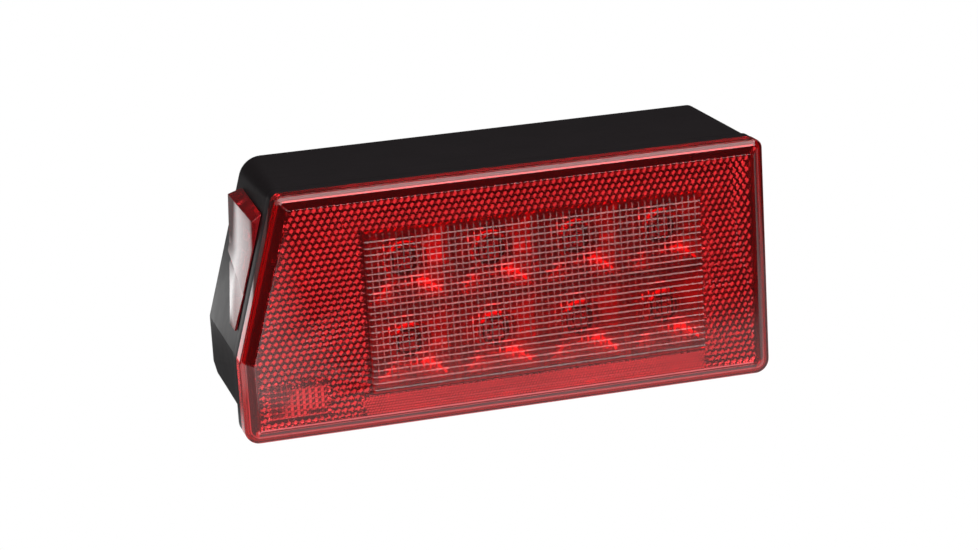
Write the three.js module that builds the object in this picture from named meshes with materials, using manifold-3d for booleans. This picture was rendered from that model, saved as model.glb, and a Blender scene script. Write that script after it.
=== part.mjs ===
// Sealed LED combination tail light for a trailer: the roadside lamp of a left and right pair.
//
// Millimetres, +Z up. The lens looks along -Y and the flat back of the housing is the plane Y = 0.
// The origin is on that back face, midway between the two mounting studs.
//
// Inside this file every piece is drawn in the "lamp frame": X across, Y backwards from the front
// of the lens rim, Z up from the bottom of the lens rim. The exported group moves that frame so
// that its origin comes to the back face.

import * as THREE from 'three';
import { mergeVertices } from 'three/addons/utils/BufferGeometryUtils.js';
import Module from 'manifold-3d';

const wasm = await Module();
wasm.setup();

// ---------------------------------------------------------------- driving dimensions

const WIDTH = 203; // across the lens rim
const HEIGHT = 91; // lens rim, bottom to top
const BODY_DEPTH = 72; // lens rim to the back face of the housing
const KINK_HEIGHT = 31; // below this the outboard side is upright, above it leans inboard
const LEAN_INSET = 17.6; // how far inboard the leaning side has come at the top
const STUD_HEIGHT = 46; // height of the stud line above the bottom of the rim

const GAP = 0.3; // clearance between pieces that touch
const BITE = 0.3; // overlap of shapes that are joined into one piece
const ARC_STEPS = 5; // facets in each rounded corner of an outline
const ROUND_SIDES = 20; // facets round a screw, washer or boss

// lens
const LENS_WALL = 2.6;
const SKIRT_DEPTH = 7.4; // how far the lens wraps back over the sides
const PLATEAU_RISE = 2.2; // the raised centre of the lens stands this far in front of the rim
const RIM_WIDTH = 4.8; // rounded edge and bevel, between the outer edge and the raised centre
const EDGE_ROUND = 2; // rounded outer edge of the rim
const EDGE_STEPS = 3;
const BEVEL_WALL = 1.1; // the bevel is this much further in on the inside of the lens

// housing
const WALL = 2.6;
const BACK_WALL = 3;
const FLANGE_THICKNESS = 6.5; // flange that the lens is welded to
const FLANGE_EDGE_INSET = 0.2;
const LIP_THICKNESS = 1.8; // locating lip inside the lens skirt
const LIP_DEPTH = 4;
const FLOOR_HEIGHT = 6.4; // underside of the housing, above the bottom of the rim
const FRONT_INSET = 0.8; // side walls behind the flange
const BACK_INSET_LEFT = 2.2;
const BACK_INSET_RIGHT = 1.8;
const CREASE_FRONT = 27.5; // the crease in the outboard wall falls from here
const CREASE_BACK = 13; // to here at the back face
const CREASE_TUCK = 1.5; // the wall below the crease leans in by this much

// lighting board and reflector
const LED_COLUMNS = 4;
const LED_ROWS = 2;
const LED_PITCH_X = 33;
const LED_PITCH_Z = 31;
const LED_CENTRE_X = 13.5;
const LED_CENTRE_Z = 43.7;
const REFLECTOR_FRONT = 3.2;
const REFLECTOR_SKIN = 1.2;
const BOWL_DEPTH = 7.5;
const BOWL_FLOOR = 17; // side of the square floor of a bowl
const BOWL_HOLE_RADIUS = 5.4;
const COLLAR_RADIUS = 7.4; // raised ring around each light source
const COLLAR_HEIGHT = 1.6;
const BOARD_THICKNESS = 1.6;
const BOARD_FRONT = 14.4;
const BOARD_WIDTH = 150;
const BOARD_HEIGHT = 68;
const SCREW_INSET = 4.5; // screw centres from the edges of the board
const SCREW_RADIUS = 1.5;
const SCREW_HEAD_RADIUS = 2.9;
const SCREW_LENGTH = 10;
const BOSS_RADIUS = 4;
const STAKE_RADIUS = 1.2; // plastic pins that hold the reflector and the small boards
const STAKE_INSET = 2.2; // pins of the reflector, from its long edges
const POST_RADIUS = 2.6; // posts under the small boards

// side marker, on the leaning wall
const MARKER_CENTRE_Y = 38; // centre of the marker, behind the rim
const MARKER_LENGTH = 41;
const STRIP_PROUD = 0.8; // thin lower part of the marker, outside of the leaning wall
// The raised block at its two ends: how far it stands off the wall, and distances along the
// wall from the kink. Its nearly upright outer face runs from the fold to the edge.
const MARKER_BACK = { foot: 28.8, fold: 31.6, edge: 50.1, top: 53.4, proud: 5.2 };
const MARKER_FRONT = { foot: 21.5, fold: 39, edge: 48.9, top: 52.5, proud: 3.1 };
// The strip below it: distances forward from the marker's centre and along the wall.
const STRIP_CORNERS = [[-14, 25.5], [-14, 29], [20.5, 24], [20.5, 8], [11, 8]];
const MARKER_WINDOW = { low: 27, high: 46, half: 13 }; // hole in the wall behind the marker
const MARKER_BOARD_DEPTH = 9; // outer face of the marker board, from the outside of the wall
const MARKER_BOARD_HALF = 8;
const MARKER_POSTS = [11, 49]; // posts that carry the board, along the wall
const MARKER_LEDS = [31, 42];

// licence plate light, in the floor of the housing
const LICENCE_CENTRE_Y = 44;
const LICENCE_LENGTH = 46;
const LICENCE_WIDTH = 24;
const LICENCE_BOARD_RISE = 11; // board above the floor
const LICENCE_BOARD_HALF = 8;
const LICENCE_WINDOW = { halfX: 19, halfY: 9 }; // hole in the floor above the lens
const LICENCE_POSTS = [-26, 26]; // from the centre of the lens
const LICENCE_LEDS = [-9, 9];
const LICENCE_PROUD = 2;

// mounting hardware, 1/4-20
const STUD_SPACING = 50.8;
const STUD_RADIUS = 3.175;
const STUD_PROJECTION = 25;
const STUD_HEAD_RADIUS = 7;
const STUD_HEAD_HEIGHT = 3.2;
const STUD_PAD = 3; // thicker wall under each stud head
const BRACKET_THICKNESS = 5; // room left for the plate the lamp bolts to
const NUT_ACROSS_FLATS = 11.1;
const NUT_THICKNESS = 5.6;
const WASHER_RADIUS = 8;
const WASHER_THICKNESS = 1.6;
const LOCK_WASHER_RADIUS = 6.2;
const LOCK_WASHER_THICKNESS = 1.6;

// wire grommet
const GROMMET_BELOW_STUDS = 24;
const GROMMET_NECK_RADIUS = 6.5;
const GROMMET_FLANGE_RADIUS = 9;
const GROMMET_BORE_RADIUS = 3.8;

// ---------------------------------------------------------------- worked out from the above

const FLANGE_FRONT = SKIRT_DEPTH + GAP;
const FLANGE_BACK = FLANGE_FRONT + FLANGE_THICKNESS;
const LEAN_SLOPE = LEAN_INSET / (HEIGHT - KINK_HEIGHT);
const BACK_INSIDE = BODY_DEPTH - BACK_WALL;
const BOARD_BACK = BOARD_FRONT + BOARD_THICKNESS;
const FLOOR_INSIDE = FLOOR_HEIGHT + WALL;
const LIGHT_CENTRES = [];
for (let row = 0; row < LED_ROWS; row += 1) {
  for (let column = 0; column < LED_COLUMNS; column += 1) {
    LIGHT_CENTRES.push(new THREE.Vector2(
      LED_CENTRE_X + (column - (LED_COLUMNS - 1) / 2) * LED_PITCH_X,
      LED_CENTRE_Z + ((LED_ROWS - 1) / 2 - row) * LED_PITCH_Z,
    ));
  }
}

// ---------------------------------------------------------------- finishes

function finish(color, roughness, metalness = 0, opacity = 1) {
  return new THREE.MeshStandardMaterial({
    color, roughness, metalness, opacity, transparent: opacity < 1,
  });
}

const FINISHES = {
  blackPlastic: finish(0x1b1517, 0.35),
  redLens: finish(0xa51820, 0.12, 0, 0.75),
  clearLens: finish(0xe8ecec, 0.1, 0, 0.5),
  mirrorCoat: finish(0xc9c9cc, 0.15, 1),
  board: finish(0x1f5a34, 0.55),
  ledBody: finish(0xe9e4d2, 0.4),
  chip: finish(0x202022, 0.5),
  resistor: finish(0x2a2a30, 0.45),
  zinc: finish(0xb9bcc0, 0.3, 1),
  rubber: finish(0x151515, 0.85),
  whiteLead: finish(0xd8d8d4, 0.5),
  brownLead: finish(0x5a3520, 0.5),
};

const lamp = new THREE.Group();

function addPiece(name, geometry, material, parent = lamp) {
  const mesh = new THREE.Mesh(geometry, material);
  mesh.name = name;
  parent.add(mesh);
  return mesh;
}

// ---------------------------------------------------------------- solids

function toSolid(geometry) {
  const bare = geometry.clone();
  bare.deleteAttribute('normal');
  bare.deleteAttribute('uv');
  const merged = mergeVertices(bare, 1e-4);
  return new wasm.Manifold(new wasm.Mesh({
    numProp: 3,
    vertProperties: new Float32Array(merged.attributes.position.array),
    triVerts: new Uint32Array(merged.index.array),
  }));
}

function toGeometry(solid) {
  const mesh = solid.getMesh();
  const geometry = new THREE.BufferGeometry();
  geometry.setAttribute('position', new THREE.BufferAttribute(mesh.vertProperties, 3));
  geometry.setIndex(new THREE.BufferAttribute(mesh.triVerts, 1));
  geometry.computeVertexNormals();
  return geometry;
}

function join(...geometries) {
  return toGeometry(geometries.map(toSolid).reduce((whole, next) => whole.add(next)));
}

function cut(geometry, ...tools) {
  return toGeometry(tools.map(toSolid).reduce((rest, tool) => rest.subtract(tool), toSolid(geometry)));
}

// A closed skin through cross-sections that all have the same number of points.
// The sections run anticlockwise as seen from the first one's outer side.
function loft(sections) {
  const count = sections[0].length;
  const positions = sections.flat().flatMap((point) => [point.x, point.y, point.z]);
  const triangles = [];
  for (let level = 0; level < sections.length - 1; level += 1) {
    for (let i = 0; i < count; i += 1) {
      const here = level * count + i;
      const next = level * count + ((i + 1) % count);
      triangles.push(here, here + count, next, next, here + count, next + count);
    }
  }
  const last = (sections.length - 1) * count;
  for (let i = 1; i < count - 1; i += 1) {
    triangles.push(0, i, i + 1);
    triangles.push(last, last + i + 1, last + i);
  }
  const geometry = new THREE.BufferGeometry();
  geometry.setAttribute('position', new THREE.Float32BufferAttribute(positions, 3));
  geometry.setIndex(triangles);
  return geometry;
}

// A box given by its lowest and highest corners.
function block(low, high) {
  const size = high.map((value, i) => value - low[i]);
  const middle = high.map((value, i) => (value + low[i]) / 2);
  return new THREE.BoxGeometry(...size).translate(...middle);
}

// A cylinder whose axis runs front to back.
function rod(radius, x, z, yFront, yBack, sides = ROUND_SIDES) {
  return new THREE.CylinderGeometry(radius, radius, yBack - yFront, sides)
    .translate(x, (yFront + yBack) / 2, z);
}

// A cylinder whose axis is upright.
function post(radius, x, y, zLow, zHigh, sides = ROUND_SIDES) {
  return new THREE.CylinderGeometry(radius, radius, zHigh - zLow, sides)
    .rotateX(Math.PI / 2)
    .translate(x, y, (zLow + zHigh) / 2);
}

// A turned piece whose axis runs front to back. The profile is a list of [radius, y].
function turned(profile, x, z, sides = ROUND_SIDES) {
  const points = profile.map(([radius, y]) => new THREE.Vector2(radius, y));
  return new THREE.LatheGeometry(points, sides).translate(x, 0, z);
}

// A flat washer: a turned ring with a bore.
function ring(outer, inner, x, z, yFront, yBack, sides = ROUND_SIDES) {
  const profile = [[inner, yFront], [outer, yFront], [outer, yBack], [inner, yBack], [inner, yFront]];
  return turned(profile, x, z, sides);
}

// A thin insulated lead along a smooth curve.
function lead(points, radius) {
  const route = new THREE.CatmullRomCurve3(points.map((point) => new THREE.Vector3(...point)));
  const section = new THREE.Shape().absarc(0, 0, radius, 0, 2 * Math.PI);
  return new THREE.ExtrudeGeometry(section, {
    extrudePath: route, steps: points.length * 2, curveSegments: 4,
  });
}

// ---------------------------------------------------------------- outlines

// A convex outline in the X-Z plane, anticlockwise as seen from the front, set in from its
// corners by a distance, with each corner rounded. Corners are [x, z, radius].
function roundedOutline(corners, inset, y) {
  const count = corners.length;
  const heading = corners.map(([x, z], i) => {
    const [nextX, nextZ] = corners[(i + 1) % count];
    return new THREE.Vector2(nextX - x, nextZ - z).normalize();
  });
  const points = [];
  corners.forEach(([x, z, radius], i) => {
    const before = heading[(i + count - 1) % count];
    const after = heading[i];
    const turn = Math.atan2(before.cross(after), before.dot(after));
    const round = Math.max(radius - inset, 0.4);
    const slip = inset * Math.tan(turn / 2);
    const cornerX = x - before.y * inset - before.x * slip;
    const cornerZ = z + before.x * inset - before.y * slip;
    const back = round * Math.tan(turn / 2);
    const centreX = cornerX - before.x * back - before.y * round;
    const centreZ = cornerZ - before.y * back + before.x * round;
    const start = Math.atan2(-before.x, before.y);
    for (let step = 0; step <= ARC_STEPS; step += 1) {
      const angle = start + (turn * step) / ARC_STEPS;
      points.push(new THREE.Vector3(
        centreX + round * Math.cos(angle),
        y,
        centreZ + round * Math.sin(angle),
      ));
    }
  });
  return points;
}

// The lens outline: upright outboard side up to the kink, then leaning inboard.
function rimOutline(inset, y) {
  const half = WIDTH / 2;
  return roundedOutline([
    [-half, 0, 5.5],
    [half, 0, 5.5],
    [half, HEIGHT, 3.5],
    [-half + LEAN_INSET, HEIGHT, 3.8],
    [-half, KINK_HEIGHT, 8],
  ], inset, y);
}

// The housing behind the flange narrows slightly towards the back.
function bodyOutline(inset, y) {
  const along = (y - FLANGE_BACK) / (BODY_DEPTH - FLANGE_BACK);
  const mix = (front, back) => front + (back - front) * along;
  const left = -WIDTH / 2 + mix(FRONT_INSET, BACK_INSET_LEFT);
  const right = WIDTH / 2 - mix(FRONT_INSET, BACK_INSET_RIGHT);
  const top = HEIGHT - mix(0.5, 0);
  return roundedOutline([
    [left + CREASE_TUCK, FLOOR_HEIGHT, 2.5],
    [right, FLOOR_HEIGHT, 4],
    [right, top, mix(3.2, 3.6)],
    [left + LEAN_SLOPE * (top - KINK_HEIGHT), top, mix(5, 9)],
    [left, KINK_HEIGHT, 2],
    [left, mix(CREASE_FRONT, CREASE_BACK), 1],
  ], inset, y);
}

// ---------------------------------------------------------------- frame of the leaning wall

// X' points out of the wall, Y' towards the front, Z' up along the wall from the kink.
const wallDraft = (BACK_INSET_LEFT - FRONT_INSET) / (BODY_DEPTH - FLANGE_BACK);
const wallUp = new THREE.Vector3(LEAN_SLOPE, 0, 1).normalize();
const wallForward = new THREE.Vector3(-wallDraft, -1, 0).normalize();
const wallOut = wallForward.clone().cross(wallUp).normalize();
wallForward.crossVectors(wallUp, wallOut);
const wallOrigin = new THREE.Vector3(
  -WIDTH / 2 + FRONT_INSET + wallDraft * (MARKER_CENTRE_Y - FLANGE_BACK),
  MARKER_CENTRE_Y,
  KINK_HEIGHT,
);
const wallMatrix = new THREE.Matrix4()
  .makeBasis(wallOut, wallForward, wallUp)
  .setPosition(wallOrigin);

// ---------------------------------------------------------------- main lens

function mainLens() {
  const roundedEdge = Array.from({ length: EDGE_STEPS + 1 }, (_, step) => {
    const angle = (step / EDGE_STEPS) * (Math.PI / 2);
    return rimOutline(EDGE_ROUND * (1 - Math.sin(angle)), EDGE_ROUND * (1 - Math.cos(angle)));
  });
  const skin = loft([
    rimOutline(RIM_WIDTH, -PLATEAU_RISE),
    ...roundedEdge,
    rimOutline(0, SKIRT_DEPTH),
  ]);
  const hollow = loft([
    rimOutline(RIM_WIDTH + BEVEL_WALL, LENS_WALL - PLATEAU_RISE),
    rimOutline(EDGE_ROUND + BEVEL_WALL, LENS_WALL),
    rimOutline(LENS_WALL, LENS_WALL),
    rimOutline(LENS_WALL, SKIRT_DEPTH + 1),
  ]);
  return cut(skin, hollow);
}

addPiece('main_lens', mainLens(), FINISHES.redLens);

// ---------------------------------------------------------------- housing

const boardEdges = {
  left: LED_CENTRE_X - BOARD_WIDTH / 2,
  right: LED_CENTRE_X + BOARD_WIDTH / 2,
  low: LED_CENTRE_Z - BOARD_HEIGHT / 2,
  high: LED_CENTRE_Z + BOARD_HEIGHT / 2,
};
const reflectorHalfX = (LED_COLUMNS * LED_PITCH_X) / 2 + 1;
const reflectorHalfZ = (LED_ROWS * LED_PITCH_Z) / 2 + 1;
const stakePlaces = [-1, 1].flatMap((side) => [-1, 1].map((end) => [
  LED_CENTRE_X + side * LED_PITCH_X,
  LED_CENTRE_Z + end * (reflectorHalfZ - STAKE_INSET),
]));
const screwPlaces = [
  [boardEdges.left + SCREW_INSET, boardEdges.high - SCREW_INSET],
  [boardEdges.right - SCREW_INSET, boardEdges.high - SCREW_INSET],
  [boardEdges.left + SCREW_INSET, boardEdges.low + SCREW_INSET],
  [boardEdges.right - SCREW_INSET, boardEdges.low + SCREW_INSET],
];
const studPlaces = [-STUD_SPACING / 2, STUD_SPACING / 2];
const grommetHeight = STUD_HEIGHT - GROMMET_BELOW_STUDS;

function housing() {
  const flange = loft([
    rimOutline(FLANGE_EDGE_INSET, FLANGE_FRONT),
    rimOutline(FLANGE_EDGE_INSET, FLANGE_BACK),
  ]);
  const body = loft([
    bodyOutline(0, FLANGE_BACK - BITE),
    bodyOutline(0, BODY_DEPTH),
  ]);
  const hollow = loft([
    bodyOutline(WALL, FLANGE_FRONT - 1),
    bodyOutline(WALL, BACK_INSIDE),
  ]);
  const lipInset = LENS_WALL + GAP;
  const lip = cut(
    loft([
      rimOutline(lipInset, FLANGE_FRONT - LIP_DEPTH),
      rimOutline(lipInset, FLANGE_FRONT + BITE),
    ]),
    loft([
      rimOutline(lipInset + LIP_THICKNESS, FLANGE_FRONT - LIP_DEPTH - 1),
      rimOutline(lipInset + LIP_THICKNESS, FLANGE_FRONT + BITE + 1),
    ]),
  );
  const shell = join(cut(join(flange, body), hollow), lip);

  const bosses = screwPlaces.map(([x, z]) => cut(
    rod(BOSS_RADIUS, x, z, BOARD_BACK + GAP, BACK_INSIDE + BITE),
    rod(SCREW_RADIUS + GAP, x, z, BOARD_BACK - 1, BOARD_BACK + SCREW_LENGTH + 1),
  ));
  const pads = studPlaces.map((x) => rod(STUD_HEAD_RADIUS + 3, x, STUD_HEIGHT,
    BACK_INSIDE - STUD_PAD, BACK_INSIDE + BITE));
  const licencePosts = LICENCE_POSTS.flatMap((offset) => [
    post(POST_RADIUS, LED_CENTRE_X + offset, LICENCE_CENTRE_Y,
      FLOOR_INSIDE - BITE, FLOOR_INSIDE + LICENCE_BOARD_RISE - GAP),
    post(STAKE_RADIUS, LED_CENTRE_X + offset, LICENCE_CENTRE_Y,
      FLOOR_INSIDE, FLOOR_INSIDE + LICENCE_BOARD_RISE + BOARD_THICKNESS + 1),
  ]);
  const markerPosts = MARKER_POSTS.flatMap((along) => [
    new THREE.CylinderGeometry(POST_RADIUS, POST_RADIUS,
      MARKER_BOARD_DEPTH - WALL + BITE - GAP, ROUND_SIDES)
      .rotateZ(Math.PI / 2)
      .translate(-(MARKER_BOARD_DEPTH + WALL - BITE - GAP) / 2, 0, along),
    new THREE.CylinderGeometry(STAKE_RADIUS, STAKE_RADIUS, MARKER_BOARD_DEPTH, ROUND_SIDES)
      .rotateZ(Math.PI / 2)
      .translate(-WALL - MARKER_BOARD_DEPTH / 2, 0, along),
  ]).map((geometry) => geometry.applyMatrix4(wallMatrix));

  const markerWindow = block(
    [-WALL - 1, -MARKER_WINDOW.half, MARKER_WINDOW.low],
    [1, MARKER_WINDOW.half, MARKER_WINDOW.high],
  ).applyMatrix4(wallMatrix);
  const licenceWindow = block(
    [LED_CENTRE_X - LICENCE_WINDOW.halfX, LICENCE_CENTRE_Y - LICENCE_WINDOW.halfY, FLOOR_HEIGHT - 1],
    [LED_CENTRE_X + LICENCE_WINDOW.halfX, LICENCE_CENTRE_Y + LICENCE_WINDOW.halfY, FLOOR_INSIDE + 1],
  );
  const neck = STUD_RADIUS + GAP;
  const studHoles = studPlaces.map((x) => block(
    [x - neck, BACK_INSIDE - STUD_PAD - 1, STUD_HEIGHT - neck],
    [x + neck, BODY_DEPTH + 1, STUD_HEIGHT + neck],
  ));
  const grommetHole = rod(GROMMET_NECK_RADIUS + GAP, 0, grommetHeight, BACK_INSIDE - 1, BODY_DEPTH + 1);

  return cut(
    join(shell, ...bosses, ...pads, ...licencePosts, ...markerPosts),
    markerWindow, licenceWindow, ...studHoles, grommetHole,
  );
}

addPiece('housing', housing(), FINISHES.blackPlastic);

// ---------------------------------------------------------------- reflector

function rectangleSection(centre, width, height, y) {
  return [[-width, -height], [width, -height], [width, height], [-width, height]]
    .map(([x, z]) => new THREE.Vector3(centre.x + x / 2, y, centre.y + z / 2));
}

function reflectorPlate() {
  const floor = REFLECTOR_FRONT + BOWL_DEPTH;
  const sheet = block(
    [LED_CENTRE_X - reflectorHalfX, REFLECTOR_FRONT, LED_CENTRE_Z - reflectorHalfZ],
    [LED_CENTRE_X + reflectorHalfX, REFLECTOR_FRONT + REFLECTOR_SKIN, LED_CENTRE_Z + reflectorHalfZ],
  );
  const cups = LIGHT_CENTRES.map((centre) => loft([
    rectangleSection(centre, LED_PITCH_X - 0.6, LED_PITCH_Z - 0.6, REFLECTOR_FRONT + REFLECTOR_SKIN / 2),
    rectangleSection(centre, BOWL_FLOOR + 2 * REFLECTOR_SKIN, BOWL_FLOOR + 2 * REFLECTOR_SKIN,
      floor + REFLECTOR_SKIN),
  ]));
  const bowls = LIGHT_CENTRES.map((centre) => loft([
    rectangleSection(centre, LED_PITCH_X - 1.2, LED_PITCH_Z - 1.2, REFLECTOR_FRONT - 0.2),
    rectangleSection(centre, BOWL_FLOOR, BOWL_FLOOR, floor),
  ]));
  const collars = LIGHT_CENTRES.map((centre) => rod(COLLAR_RADIUS, centre.x, centre.y,
    floor - COLLAR_HEIGHT, floor + BITE));
  const holes = LIGHT_CENTRES.map((centre) => rod(BOWL_HOLE_RADIUS, centre.x, centre.y,
    floor - COLLAR_HEIGHT - 1, floor + REFLECTOR_SKIN + 1));
  const stakes = stakePlaces.map(([x, z]) => rod(STAKE_RADIUS, x, z,
    REFLECTOR_FRONT + REFLECTOR_SKIN / 2, BOARD_BACK + 0.8));
  return cut(join(cut(join(sheet, ...cups), ...bowls), ...collars, ...stakes), ...holes);
}

addPiece('reflector_plate', reflectorPlate(), FINISHES.mirrorCoat);

// ---------------------------------------------------------------- main board and what is on it

function mainBoard() {
  const plate = block(
    [boardEdges.left, BOARD_FRONT, boardEdges.low],
    [boardEdges.right, BOARD_BACK, boardEdges.high],
  );
  const screwHoles = screwPlaces.map(([x, z]) => rod(SCREW_RADIUS + GAP, x, z,
    BOARD_FRONT - 1, BOARD_BACK + 1));
  const stakeHoles = stakePlaces.map(([x, z]) => rod(STAKE_RADIUS + GAP, x, z,
    BOARD_FRONT - 1, BOARD_BACK + 1));
  return cut(plate, ...screwHoles, ...stakeHoles);
}

addPiece('main_board', mainBoard(), FINISHES.board);

// A light source: square ceramic base with a dome, shining towards -Y.
const LED_BASE = 7;
const LED_BASE_HEIGHT = 1.4;
const LED_DOME_RADIUS = 3.1;

function ledBody() {
  const base = block(
    [-LED_BASE / 2, -GAP - LED_BASE_HEIGHT, -LED_BASE / 2],
    [LED_BASE / 2, -GAP, LED_BASE / 2],
  );
  const domeSeat = -GAP - LED_BASE_HEIGHT;
  const domeSteps = 6;
  const arc = Array.from({ length: domeSteps + 1 }, (_, step) => {
    const angle = (step / domeSteps) * (Math.PI / 2);
    return [LED_DOME_RADIUS * Math.sin(angle), domeSeat - LED_DOME_RADIUS * Math.cos(angle)];
  });
  const dome = turned([...arc, [LED_DOME_RADIUS, domeSeat + BITE], [0, domeSeat + BITE]], 0, 0, 16);
  return join(base, dome);
}

const ledGeometry = ledBody();
LIGHT_CENTRES.forEach((centre, i) => {
  addPiece(`led_${i + 1}`, ledGeometry, FINISHES.ledBody)
    .position.set(centre.x, BOARD_FRONT, centre.y);
});

// Parts soldered to the back of the board: [name, x, z, width, height, thickness].
const CHIP_PARTS = [
  ['regulator', 10, 60, 10, 9, 2.4],
  ['input_diode', -12, 60, 5, 3.6, 2.2],
  ['brake_diode', -12, 52, 5, 3.6, 2.2],
  ['resistor_1', 30, 62, 6.4, 3.2, 0.8],
  ['resistor_2', 30, 56, 6.4, 3.2, 0.8],
  ['resistor_3', 42, 62, 6.4, 3.2, 0.8],
  ['resistor_4', 42, 56, 6.4, 3.2, 0.8],
];
CHIP_PARTS.forEach(([name, x, z, width, height, thickness]) => {
  const draft = 0.3;
  const body = loft([
    rectangleSection(new THREE.Vector2(x, z), width, height, BOARD_BACK + GAP),
    rectangleSection(new THREE.Vector2(x, z), width - draft, height - draft,
      BOARD_BACK + GAP + thickness),
  ]);
  addPiece(name, body, name.startsWith('resistor') ? FINISHES.resistor : FINISHES.chip);
});

const capacitor = turned([
  [0, BOARD_BACK + GAP], [4, BOARD_BACK + GAP], [4, BOARD_BACK + 1.6], [3.7, BOARD_BACK + 2],
  [4, BOARD_BACK + 2.4], [4, BOARD_BACK + 9.6], [3.6, BOARD_BACK + 10], [0, BOARD_BACK + 10],
], 24, 46);
addPiece('capacitor', capacitor, FINISHES.chip);

// Pan-head screws that hold the board to the bosses.
screwPlaces.forEach(([x, z], i) => {
  const seat = BOARD_FRONT - GAP;
  const screw = turned([
    [0, seat - 2.1], [1.6, seat - 2.1], [2.5, seat - 1.6], [SCREW_HEAD_RADIUS, seat - 0.8],
    [SCREW_HEAD_RADIUS, seat], [SCREW_RADIUS, seat],
    [SCREW_RADIUS, BOARD_BACK + SCREW_LENGTH - 1.5], [0, BOARD_BACK + SCREW_LENGTH],
  ], x, z, 16);
  const recess = [[2.6, 0.7], [0.7, 2.6]].map(([width, height]) => block(
    [x - width / 2, seat - 3, z - height / 2],
    [x + width / 2, seat - 1.2, z + height / 2],
  ));
  addPiece(`board_screw_${i + 1}`, cut(screw, ...recess), FINISHES.zinc);
});

// ---------------------------------------------------------------- side marker

const wallFrame = new THREE.Group();
wallFrame.position.copy(wallOrigin);
wallFrame.setRotationFromMatrix(wallMatrix);
lamp.add(wallFrame);

// The raised block fades into a thin plate that lies along the wall and carries the reflector
// strip below it. A spigot behind it fills the window, and is hollow towards the inside.
function markerLens() {
  const half = MARKER_LENGTH / 2;
  const raised = (y, end) => [
    new THREE.Vector3(GAP, y, end.foot),
    new THREE.Vector3(STRIP_PROUD, y, end.foot),
    new THREE.Vector3(STRIP_PROUD, y, end.fold),
    new THREE.Vector3(end.proud, y, end.edge),
    new THREE.Vector3(GAP, y, end.top),
  ];
  const blockPart = loft([raised(-half, MARKER_BACK), raised(half, MARKER_FRONT)]);
  const strip = loft([GAP, STRIP_PROUD].map((x) => (
    STRIP_CORNERS.map(([forward, along]) => new THREE.Vector3(x, forward, along))
  )));
  const spigot = block(
    [-WALL, -MARKER_WINDOW.half + GAP, MARKER_WINDOW.low + GAP],
    [GAP + BITE / 2, MARKER_WINDOW.half - GAP, MARKER_WINDOW.high - GAP],
  );
  const skin = 1.5;
  const pocket = block(
    [-WALL - 1, -MARKER_WINDOW.half + GAP + skin, MARKER_WINDOW.low + GAP + skin],
    [-0.6, MARKER_WINDOW.half - GAP - skin, MARKER_WINDOW.high - GAP - skin],
  );
  return cut(join(blockPart, strip, spigot), pocket);
}

addPiece('side_marker_lens', markerLens(), FINISHES.redLens, wallFrame);

const markerBoard = cut(
  block(
    [-MARKER_BOARD_DEPTH - BOARD_THICKNESS, -MARKER_BOARD_HALF, MARKER_POSTS[0] - 3],
    [-MARKER_BOARD_DEPTH, MARKER_BOARD_HALF, MARKER_POSTS[1] + 3],
  ),
  ...MARKER_POSTS.map((along) => new THREE.CylinderGeometry(
    STAKE_RADIUS + GAP, STAKE_RADIUS + GAP, BOARD_THICKNESS + 2, ROUND_SIDES,
  ).rotateZ(Math.PI / 2).translate(-MARKER_BOARD_DEPTH - BOARD_THICKNESS / 2, 0, along)),
);
addPiece('marker_board', markerBoard, FINISHES.board, wallFrame);

// The light sources turn from facing -Y to facing out of the wall.
MARKER_LEDS.forEach((along, i) => {
  const piece = addPiece(`marker_led_${i + 1}`, ledGeometry, FINISHES.ledBody, wallFrame);
  piece.position.set(-MARKER_BOARD_DEPTH, 0, along);
  piece.rotation.z = Math.PI / 2;
});

// ---------------------------------------------------------------- licence plate light

function licenceLens() {
  const halfX = LICENCE_LENGTH / 2;
  const halfY = LICENCE_WIDTH / 2;
  const under = FLOOR_HEIGHT - GAP;
  const section = (grow, z) => [[-1, 1], [1, 1], [1, -1], [-1, -1]].map(([sideX, sideY]) => (
    new THREE.Vector3(
      LED_CENTRE_X + sideX * (halfX + grow),
      LICENCE_CENTRE_Y + sideY * (halfY + grow),
      z,
    )));
  const plate = loft([section(-1.2, under - LICENCE_PROUD), section(0, under - 0.8), section(0, under)]);
  const skin = 1.4;
  const spigot = block(
    [LED_CENTRE_X - LICENCE_WINDOW.halfX + GAP, LICENCE_CENTRE_Y - LICENCE_WINDOW.halfY + GAP, under - BITE],
    [LED_CENTRE_X + LICENCE_WINDOW.halfX - GAP, LICENCE_CENTRE_Y + LICENCE_WINDOW.halfY - GAP, FLOOR_INSIDE],
  );
  const pocket = block(
    [LED_CENTRE_X - LICENCE_WINDOW.halfX + GAP + skin,
      LICENCE_CENTRE_Y - LICENCE_WINDOW.halfY + GAP + skin, under],
    [LED_CENTRE_X + LICENCE_WINDOW.halfX - GAP - skin,
      LICENCE_CENTRE_Y + LICENCE_WINDOW.halfY - GAP - skin, FLOOR_INSIDE + 1],
  );
  return cut(join(plate, spigot), pocket);
}

addPiece('licence_lens', licenceLens(), FINISHES.clearLens);

const licenceBoardLow = FLOOR_INSIDE + LICENCE_BOARD_RISE;
const licenceBoard = cut(
  block(
    [LED_CENTRE_X + LICENCE_POSTS[0] - 4, LICENCE_CENTRE_Y - LICENCE_BOARD_HALF, licenceBoardLow],
    [LED_CENTRE_X + LICENCE_POSTS[1] + 4, LICENCE_CENTRE_Y + LICENCE_BOARD_HALF,
      licenceBoardLow + BOARD_THICKNESS],
  ),
  ...LICENCE_POSTS.map((offset) => post(STAKE_RADIUS + GAP, LED_CENTRE_X + offset, LICENCE_CENTRE_Y,
    licenceBoardLow - 1, licenceBoardLow + BOARD_THICKNESS + 1)),
);
addPiece('licence_board', licenceBoard, FINISHES.board);

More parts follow.
